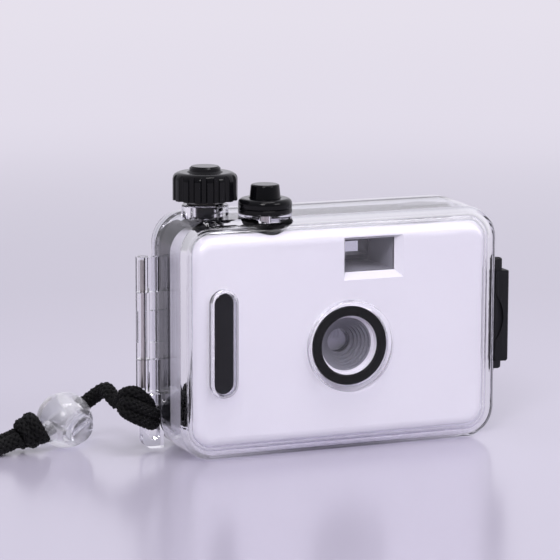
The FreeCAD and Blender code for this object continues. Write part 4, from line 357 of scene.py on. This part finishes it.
# Clear toggle ball and its plunger, moulded in cheaper styrene.
# It is a little cloudy, and its moulds weren't polished.
frosty = Finish("clear_styrene", Base_Color=(0.83, 0.83, 0.86, 1), IOR=1.45,
                Transmission_Weight=0.86, Specular_IOR_Level=0.35)
cloud = frosty.noise(scale=260.0, detail=3.0)
frosty.drive(Roughness=cloud * 0.16 + 0.06,
             Normal=frosty.bump(cloud, strength=0.10, distance=0.0004))
veil = frosty.node("ShaderNodeBsdfTransparent", Color=(0.90, 0.90, 0.93, 1))
frosty.mix_in(veil, lost_or_shadow(frosty))
paint(frosty, "toggle_body", "toggle_plunger")


# Glossy white front moulding of the camera, with the faint orange peel of moulded styrene.
# The counter and the small gears behind it are moulded in the same white.
white = Finish("white_moulding", IOR=1.5, Specular_IOR_Level=0.5, Coat_Weight=0.6,
               Coat_Roughness=0.12)
peel = white.noise(scale=900.0, detail=2.0)
broad = white.noise(scale=22.0, detail=2.0)
white.drive(
    Base_Color=white.ramp(broad, (0.3, (0.870, 0.845, 0.905, 1)), (0.7, (0.890, 0.865, 0.920, 1))),
    Roughness=peel * 0.08 + 0.2,
    Normal=white.bump(peel, strength=0.05, distance=0.0002))
paint(white, "front_cover", "counter_dial", "spool_gear", "idler_gear", "sprocket_gear")


# Black case controls, moulded in polished black: knob, cap, gland, collar and button.
# The camera's own small controls are of the same plastic.
polished = Finish("satin_black", IOR=1.5, Specular_IOR_Level=0.2)
grain = polished.noise(scale=1400.0, detail=2.0)
smudge = polished.noise(scale=60.0, detail=4.0)
polished.drive(
    Base_Color=polished.ramp(smudge, (0.3, (0.0035, 0.0035, 0.0045, 1)),
                             (0.75, (0.006, 0.006, 0.0075, 1))),
    Roughness=grain * 0.04 + smudge * 0.06 + 0.06,
    Normal=polished.bump(grain, strength=0.12, distance=0.0001))
paint(polished, "wind_knob", "knob_cap", "shaft_gland", "shutter_collar", "shutter_cap",
      "grip_bar", "camera_button", "rewind_knob", "rewind_handle")


# Black inner mouldings of the camera and the case's side latch.
# Their moulds are spark eroded, which gives a fine matt texture.
matt = Finish("matt_black", IOR=1.48, Specular_IOR_Level=0.25)
pores = matt.noise(scale=2200.0, detail=3.0, roughness=0.7)
patch = matt.noise(scale=45.0, detail=3.0)
matt.drive(
    Base_Color=matt.ramp(patch, (0.3, (0.009, 0.009, 0.012, 1)), (0.7, (0.014, 0.014, 0.017, 1))),
    Roughness=pores * 0.2 + 0.45,
    Normal=matt.bump(pores, strength=0.35, distance=0.00012))
paint(matt, "latch_base", "latch_lever", "main_frame", "back_door", "door_catch",
      "pressure_plate", "shutter_plate", "release_lever", "advance_dial", "take_up_spool",
      "sprocket", "rewind_fork")


# Tunnel between the viewfinder's glasses, a light-tight box. Its dark moulding is painted
# a light grey, a painted reflection standing for the sheen that the window glass mirrors.
# It is moulded and left dull, so that it doesn't mirror the view.
dull = Finish("tunnel_grey", IOR=1.48, Specular_IOR_Level=0.3)
shade = dull.noise(scale=400.0, detail=3.0)
# Painted reflection: this grey stands for the window's sheen, not for the tunnel's own dark
# colour.
dull.drive(
    Base_Color=dull.ramp(shade, (0.3, (0.330, 0.325, 0.360, 1)), (0.7, (0.370, 0.365, 0.398, 1))),
    Roughness=shade * 0.2 + 0.4,
    Normal=dull.bump(shade, strength=0.1, distance=0.0001))
paint(dull, "viewfinder_tunnel")


# Rubber seals: the gasket in the rear rim and the two small rings on the shafts.
# They are pressed from black rubber and always carry a little dust.
rubber = Finish("seal_rubber", IOR=1.45, Specular_IOR_Level=0.3)
dust = rubber.noise(scale=500.0, detail=3.0)
rubber.drive(
    Base_Color=rubber.ramp(dust, (0.35, (0.012, 0.012, 0.014, 1)),
                           (0.8, (0.035, 0.034, 0.038, 1))),
    Roughness=dust * 0.2 + 0.6,
    Normal=rubber.bump(dust, strength=0.2, distance=0.0001))
paint(rubber, "shell_gasket", "shaft_seal", "plunger_seal")


# Turned and stamped steel: hinge and latch pins, shaft, screws, leaf spring and blade.
# All are left bare, and drawn or rolled marks run along them.
steel = Finish("turned_steel", Metallic=1.0, Specular_IOR_Level=0.5)
stretched = steel.node("ShaderNodeMapping", Vector=steel.place(), Scale=(1.0, 1.0, 0.05))
drawn = steel.node("ShaderNodeTexNoise", Vector=stretched, Scale=3000.0, Detail=2.0)
steel.drive(
    Base_Color=steel.ramp(drawn, (0.3, (0.56, 0.52, 0.50, 1)), (0.7, (0.70, 0.66, 0.64, 1))),
    Roughness=drawn * 0.15 + 0.22,
    Normal=steel.bump(drawn, strength=0.08, distance=0.0001))
paint(steel, "hinge_pin", "latch_pin", "wind_shaft", "shutter_plunger", "door_hinge_pin",
      "plate_spring", "cover_screws", "board_screws", "shutter_blade")


# Black ring round the lens, a flat moulding on the front cover's boss.
# It is left bare apart from a fine satin grain.
ring_black = Finish("ring_black", IOR=1.5, Specular_IOR_Level=0.08)
fine = ring_black.noise(scale=1800.0, detail=2.0)
ring_black.drive(
    Base_Color=ring_black.ramp(fine, (0.3, (0.003, 0.003, 0.0035, 1)),
                               (0.8, (0.005, 0.005, 0.006, 1))),
    Roughness=fine * 0.1 + 0.38,
    Normal=ring_black.bump(fine, strength=0.1, distance=0.0001))
paint(ring_black, "lens_ring")


# Stepped cone in front of the glass, moulded with fine light-catching steps. Its dark plastic
# is painted mid grey, a painted haze standing for the light the misty window in front lays over
# it.
# Its dull surface keeps stray light off the film.
cone_grey = Finish("cone_grey", IOR=1.48, Specular_IOR_Level=0.4)
speck = cone_grey.noise(scale=1500.0, detail=2.0)
# Painted haze: the cone's mid grey stands for light that the misty window lays over its dark
# plastic.
cone_grey.drive(
    Base_Color=cone_grey.ramp(speck, (0.3, (0.210, 0.207, 0.240, 1)),
                              (0.7, (0.250, 0.247, 0.280, 1))),
    Roughness=speck * 0.15 + 0.4,
    Normal=cone_grey.bump(speck, strength=0.15, distance=0.0001))
paint(cone_grey, "lens_cone")


# Lenses ground from grey tinted optical glass.
# A faint violet coating on them mirrors the studio.
glass = Finish("coated_glass", Base_Color=(0.74, 0.74, 0.80, 1), IOR=1.6,
               Transmission_Weight=1.0, Coat_Weight=1.0, Coat_Roughness=0.12,
               Coat_IOR=1.7)
haze = glass.noise(scale=120.0, detail=2.0)
glass.drive(Roughness=haze * 0.02 + 0.004)
paint(glass, "front_lens", "rear_lens")


# The viewfinder's two small windows, cut from clear acrylic sheet.
# They close the two ends of the viewfinder's tunnel.
window = Finish("window_acrylic", Base_Color=(0.98, 0.98, 1.0, 1), IOR=1.49,
                Transmission_Weight=1.0)
film = window.noise(scale=90.0, detail=2.0)
window.drive(Roughness=film * 0.02 + 0.004)
clear_window(window, tint=(0.99, 0.99, 1.0, 1), mirror=0.05)
paint(window, "viewfinder_front", "eyepiece")


# Braided polyester strap: twelve flat yarns laid over and under one another round a core.
# The yarns are real strands that follow the cord, woven by one Geometry Nodes tree.
CORD = 2.6 * MM
YARNS = 12
BRAID_PITCH = 13.0 * MM
BRAID_STEP = 0.4 * MM
LAY_SHARE = 0.66
YARN_SHARE = 0.26
LIFT_SHARE = 0.12
CORE_SHARE = 0.98


class Pattern(Net):
    """A Geometry Nodes tree with named inputs for its sizes."""

    def __init__(self, name, **sizes):
        tree = bpy.data.node_groups.new(name, "GeometryNodeTree")
        tree.interface.new_socket("Geometry", in_out="OUTPUT",
                                  socket_type="NodeSocketGeometry")
        for label, kind in {"Geometry": "Geometry", **sizes, "Material": "Material"}.items():
            tree.interface.new_socket(label, in_out="INPUT", socket_type="NodeSocket" + kind)
        super().__init__(tree)
        self.inputs = tree.nodes.new("NodeGroupInput")

    def given(self, label):
        return Value(self, self.inputs.outputs[label])

    def vector(self, operation, first, **others):
        return self.node("ShaderNodeVectorMath", {"operation": operation}, _0=first, **others)

    def pipe(self, line, corners, radius):
        """A closed round tube along a line."""
        ring = self.node("GeometryNodeCurvePrimitiveCircle", Resolution=corners, Radius=radius)
        return self.node("GeometryNodeCurveToMesh", Curve=line, Profile_Curve=ring,
                         Fill_Caps=True)

    def end(self, shape):
        """Sends the shape out smooth, realized and in the given material."""
        smooth = self.node("GeometryNodeSetShadeSmooth", Geometry=shape)
        whole = self.node("GeometryNodeRealizeInstances", Geometry=smooth)
        dressed = self.node("GeometryNodeSetMaterial", Geometry=whole,
                            Material=self.given("Material"))
        out = self.tree.nodes.new("NodeGroupOutput")
        self.tree.links.new(dressed.socket, out.inputs[0])

    def grow(self, name, host, **sizes):
        """The plain mesh that the tree makes of a host object, which is then removed."""
        modifier = host.modifiers.new(self.tree.name, "NODES")
        modifier.node_group = self.tree
        for entry in self.tree.interface.items_tree:
            if entry.in_out == "INPUT" and entry.name in sizes:
                modifier[entry.identifier] = sizes[entry.name]
        evaluated = host.evaluated_get(bpy.context.evaluated_depsgraph_get())
        mesh = bpy.data.meshes.new_from_object(evaluated)
        bpy.data.objects.remove(host)
        mesh.name = name
        return mesh


braid = Pattern("braid", Radius="Float", Yarn="Float", Lift="Float", Yarns="Int",
                Pitch="Float", Step="Float")
line = braid.node("GeometryNodeResampleCurve", {"mode": "LENGTH"},
                  Curve=braid.given("Geometry"), Length=braid.given("Step"))
copies = braid.node("GeometryNodeDuplicateElements", {"domain": "SPLINE"}, Geometry=line,
                    Amount=braid.given("Yarns"))
index = copies.output("Duplicate Index")
hand = 1.0 - (index % 2.0) * 2.0
half_index = (index / 2.0).floor()
half_count = braid.given("Yarns") / 2.0
along = braid.node("GeometryNodeSplineParameter", result="Length")
run_angle = along / braid.given("Pitch") * TURN
angle = half_index / half_count * TURN + hand * run_angle
over_under = hand * (half_count * run_angle).cosine()
yarn_radius = braid.given("Radius") + braid.given("Lift") * over_under
normal = braid.node("GeometryNodeInputNormal")
tangent = braid.node("GeometryNodeInputTangent")
side = braid.vector("CROSS_PRODUCT", tangent, _1=normal)
out_way = braid.vector("ADD", braid.vector("SCALE", normal, Scale=angle.cosine()),
                       _1=braid.vector("SCALE", side, Scale=angle.sine()))
moved = braid.node("GeometryNodeSetPosition", Geometry=copies,
                   Offset=braid.vector("SCALE", out_way, Scale=yarn_radius))
yarns = braid.pipe(moved, corners=6, radius=braid.given("Yarn"))
core = braid.pipe(line, corners=12, radius=braid.given("Radius") * CORE_SHARE)
braid.end(braid.node("GeometryNodeJoinGeometry", _0=[yarns, core]))

yarn_black = Finish("braided_polyester", IOR=1.46, Specular_IOR_Level=0.16)
fibre = yarn_black.noise(scale=2600.0, detail=3.0, roughness=0.7)
worn = yarn_black.noise(scale=140.0, detail=3.0)
yarn_black.drive(
    Base_Color=yarn_black.ramp(worn, (0.3, (0.004, 0.004, 0.0045, 1)),
                               (0.8, (0.010, 0.010, 0.011, 1))),
    Roughness=fibre * 0.25 + 0.5,
    Normal=yarn_black.bump(fibre, strength=0.5, distance=0.00015))


def route_line(name, points):
    """A smooth open line drawn along a cord's route."""
    data = bpy.data.curves.new(name + "_route", "CURVE")
    data.dimensions = "3D"
    data.resolution_u = 24
    spline = data.splines.new("NURBS")
    spline.points.add(len(points) - 1)
    for spot, point in zip(spline.points, points):
        spot.co = (*point, 1.0)
    spline.order_u = 3
    spline.use_endpoint_u = True
    return add_object(name + "_route", data)


def smooth_points(line_object):
    """The points of a route's smooth line."""
    evaluated = line_object.evaluated_get(bpy.context.evaluated_depsgraph_get())
    mesh = bpy.data.meshes.new_from_object(evaluated)
    points = [tuple(vertex.co) for vertex in mesh.vertices]
    bpy.data.meshes.remove(mesh)
    return points


def braided(name, node_name, points, radius, pitch):
    """A braided piece along a route in place of a CAD node, and its smooth path.

    The yarns lie and rise by their shares of the cord's radius.
    """
    line_object = route_line(name, points)
    path = smooth_points(line_object)
    mesh = braid.grow(name, line_object, Radius=radius * LAY_SHARE,
                      Yarn=radius * YARN_SHARE, Lift=radius * LIFT_SHARE, Yarns=YARNS,
                      Pitch=pitch, Step=BRAID_STEP, Material=yarn_black.material)
    piece = add_object(name, mesh)
    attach(piece, "case")
    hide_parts(node_name)
    return piece, path


# Short cord from the hitch on the case's lug through the toggle to the knot.
# It leaves the hitch upwards, bends over and drops into the toggle's bore.
bore_way = Vector((-0.842, -0.255, -0.474)).normalized()
toggle_centre = Vector((-84.0, 19.4, 9.25)) * MM
hitch_centre = Vector((-66.85, 5.1, 13.4)) * MM
hitch_way = Vector((-0.408, 0.753, 0.516)).normalized()
hitch_face = hitch_centre + hitch_way * 4.6 * MM
hitch_bend = hitch_centre + hitch_way * 8.5 * MM
elbow = Vector((-69.7, 18.1, 19.3)) * MM
bore_mouth = toggle_centre - bore_way * 13.2 * MM
bore_middle = toggle_centre + Vector((0, 0, 1)).cross(bore_way).normalized() * 0.1 * MM
bore_end = toggle_centre + bore_way * 9.5 * MM
short_route = [hitch_face, hitch_bend, elbow, bore_mouth, bore_middle, bore_end]
short_cord, short_path = braided("short_cord", "strap_cord", short_route, CORD, BRAID_PITCH)


# Wrist loop: both ends leave the knot side by side, sink to the table and spread.
# The loop lies flat on the table, a little above it by half the cord's thickness.
knot_centre = Vector((-97.2, 17.0, 7.2)) * MM
knot_way = Vector((-0.87, 0.10, -0.48)).normalized()
level = CORD + 0.05 * MM
face = knot_centre + knot_way * 3.6 * MM
across = Vector((0, 0, 1)).cross(knot_way).normalized() * 2.7 * MM
drop = (face.z - level) / -knot_way.z
loop_route = [face + across, face + across + knot_way * drop]
loop_route += [Vector((x * MM, y * MM, level)) for x, y in (
    (-117.2, 13.6), (-139.5, 7.4), (-163, 5.2), (-184.6, 6.4), (-195.4, 17), (-195.2, 31.8),
    (-184, 42.2), (-158, 44.2), (-133.5, 38), (-115.3, 25.6))]
loop_route += [face - across + knot_way * drop, face - across]
hand_loop, loop_path = braided("hand_loop", "wrist_loop", loop_route, CORD, BRAID_PITCH)


# Stopper knot: the two ends of the loop tied in one overhand knot against the toggle.
# Its line winds twice round the cord, wide at the toggle and closer behind, drawn tight.
# Its sizes are in millimetres.
KNOT_STEPS = 30
KNOT_TURNS = 2.1
KNOT_LEAD = 0.1
KNOT_WIDE = 3.9
KNOT_TAPER = 0.8
KNOT_START = -2.3
KNOT_LENGTH = 6.8
KNOT_SWAY = 0.5
snug = knot_centre + (toggle_centre - knot_centre).normalized() * 1.9 * MM
first_side = knot_way.cross(Vector((0, 0, 1))).normalized()
second_side = knot_way.cross(first_side)
knot_route = []
for i in range(KNOT_STEPS + 1):
    t = i / KNOT_STEPS
    turned = TURN * (KNOT_TURNS * t + KNOT_LEAD)
    wide = (KNOT_WIDE - KNOT_TAPER * t) * MM
    run = (KNOT_LENGTH * t + KNOT_START + KNOT_SWAY * math.sin(turned)) * MM
    knot_route.append(snug + first_side * math.cos(turned) * wide
                      + second_side * math.sin(turned) * wide + knot_way * run)
knot_route.append(snug + knot_way * 5.8 * MM)
stop_knot, _ = braided("stop_knot", "strap_knot", knot_route, radius=2.4 * MM,
                       pitch=12.0 * MM)


# Hitch on the strap lug: the cord passes through the lug, round its bar and under itself.
# It is drawn tight, so the cord is a little thinner here than along its free run.
hitch_route = [Vector(point) * MM for point in (
    (-68.7, 8.5, 15.6), (-69.1, 5.0, 19.0), (-67.8, 2.0, 20.8), (-65.2, 0.5, 20.9),
    (-63.4, 0.8, 19.0), (-60.6, 2.8, 16.6), (-58.7, 6.0, 13.8), (-58.9, 8.2, 11.5),
    (-62.1, 8.3, 12.8), (-66.1, 7.0, 14.7), (-69.3, 3.5, 16.2), (-69.7, 0.5, 15.0),
    (-67.4, -0.8, 13.5), (-64.0, -0.8, 11.8), (-60.6, 0.0, 10.1), (-58.4, 3.0, 9.7),
    (-58.4, 7.0, 10.9), (-59.0, 8.3, 12.9), (-63.0, 8.0, 15.3), (-67.1, 5.0, 17.4),
    (-69.0, 1.5, 18.3), (-67.7, -0.8, 17.5), (-64.8, -1.2, 16.1), (-61.5, -0.6, 14.3),
    (-58.4, 1.5, 12.7), (-58.4, 5.5, 11.9))]
lug_hitch, _ = braided("lug_hitch", "strap_hitch", hitch_route, radius=2.25 * MM,
                       pitch=11.0 * MM)


# Return springs under the case's button and inside the toggle, wound from steel wire.
# Each is cut square at both ends.
SPRING_OUTSIDE = 7.1 * MM
button_spring_foot = Vector((-24.4, -9.0, 80.0)) * MM
toggle_spring_foot = Vector((-86.577, 25.425, 10.644)) * MM
toggle_press_way = Vector((0.3882, -0.8982, -0.2063)).normalized()
spring = Pattern("wound_spring", Turns="Float", Radius="Float", Height="Float", Wire="Float")
helix = spring.node("GeometryNodeCurveSpiral", Resolution=32, Rotations=spring.given("Turns"),
                    Start_Radius=spring.given("Radius"), End_Radius=spring.given("Radius"),
                    Height=spring.given("Height"))
spring.end(spring.pipe(helix, corners=10, radius=spring.given("Wire")))


def wound(name, node_name, foot, way, height, wire, turns):
    """A spring from its fixed foot along a way, in place of a CAD node."""
    host = add_object(name + "_host", bpy.data.meshes.new(name + "_host"))
    mesh = spring.grow(name, host, Turns=turns, Radius=(SPRING_OUTSIDE - wire) / 2,
                       Height=height - wire, Wire=wire / 2, Material=steel.material)
    mesh.transform(Matrix.Translation(foot + way * wire / 2)
                   @ way.to_track_quat("Z", "Y").to_matrix().to_4x4())
    piece = add_object(name, mesh)
    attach(piece, "case")
    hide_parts(node_name)
    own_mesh(piece)
    return piece


wound("button_coil", "plunger_spring",
      foot=button_spring_foot, way=Vector((0, 0, 1)),
      height=6.5 * MM, wire=0.6 * MM, turns=4.5)
toggle_coil = wound("toggle_coil", "toggle_spring",
                    foot=toggle_spring_foot, way=toggle_press_way,
                    height=2.85 * MM, wire=0.75 * MM, turns=2.2)
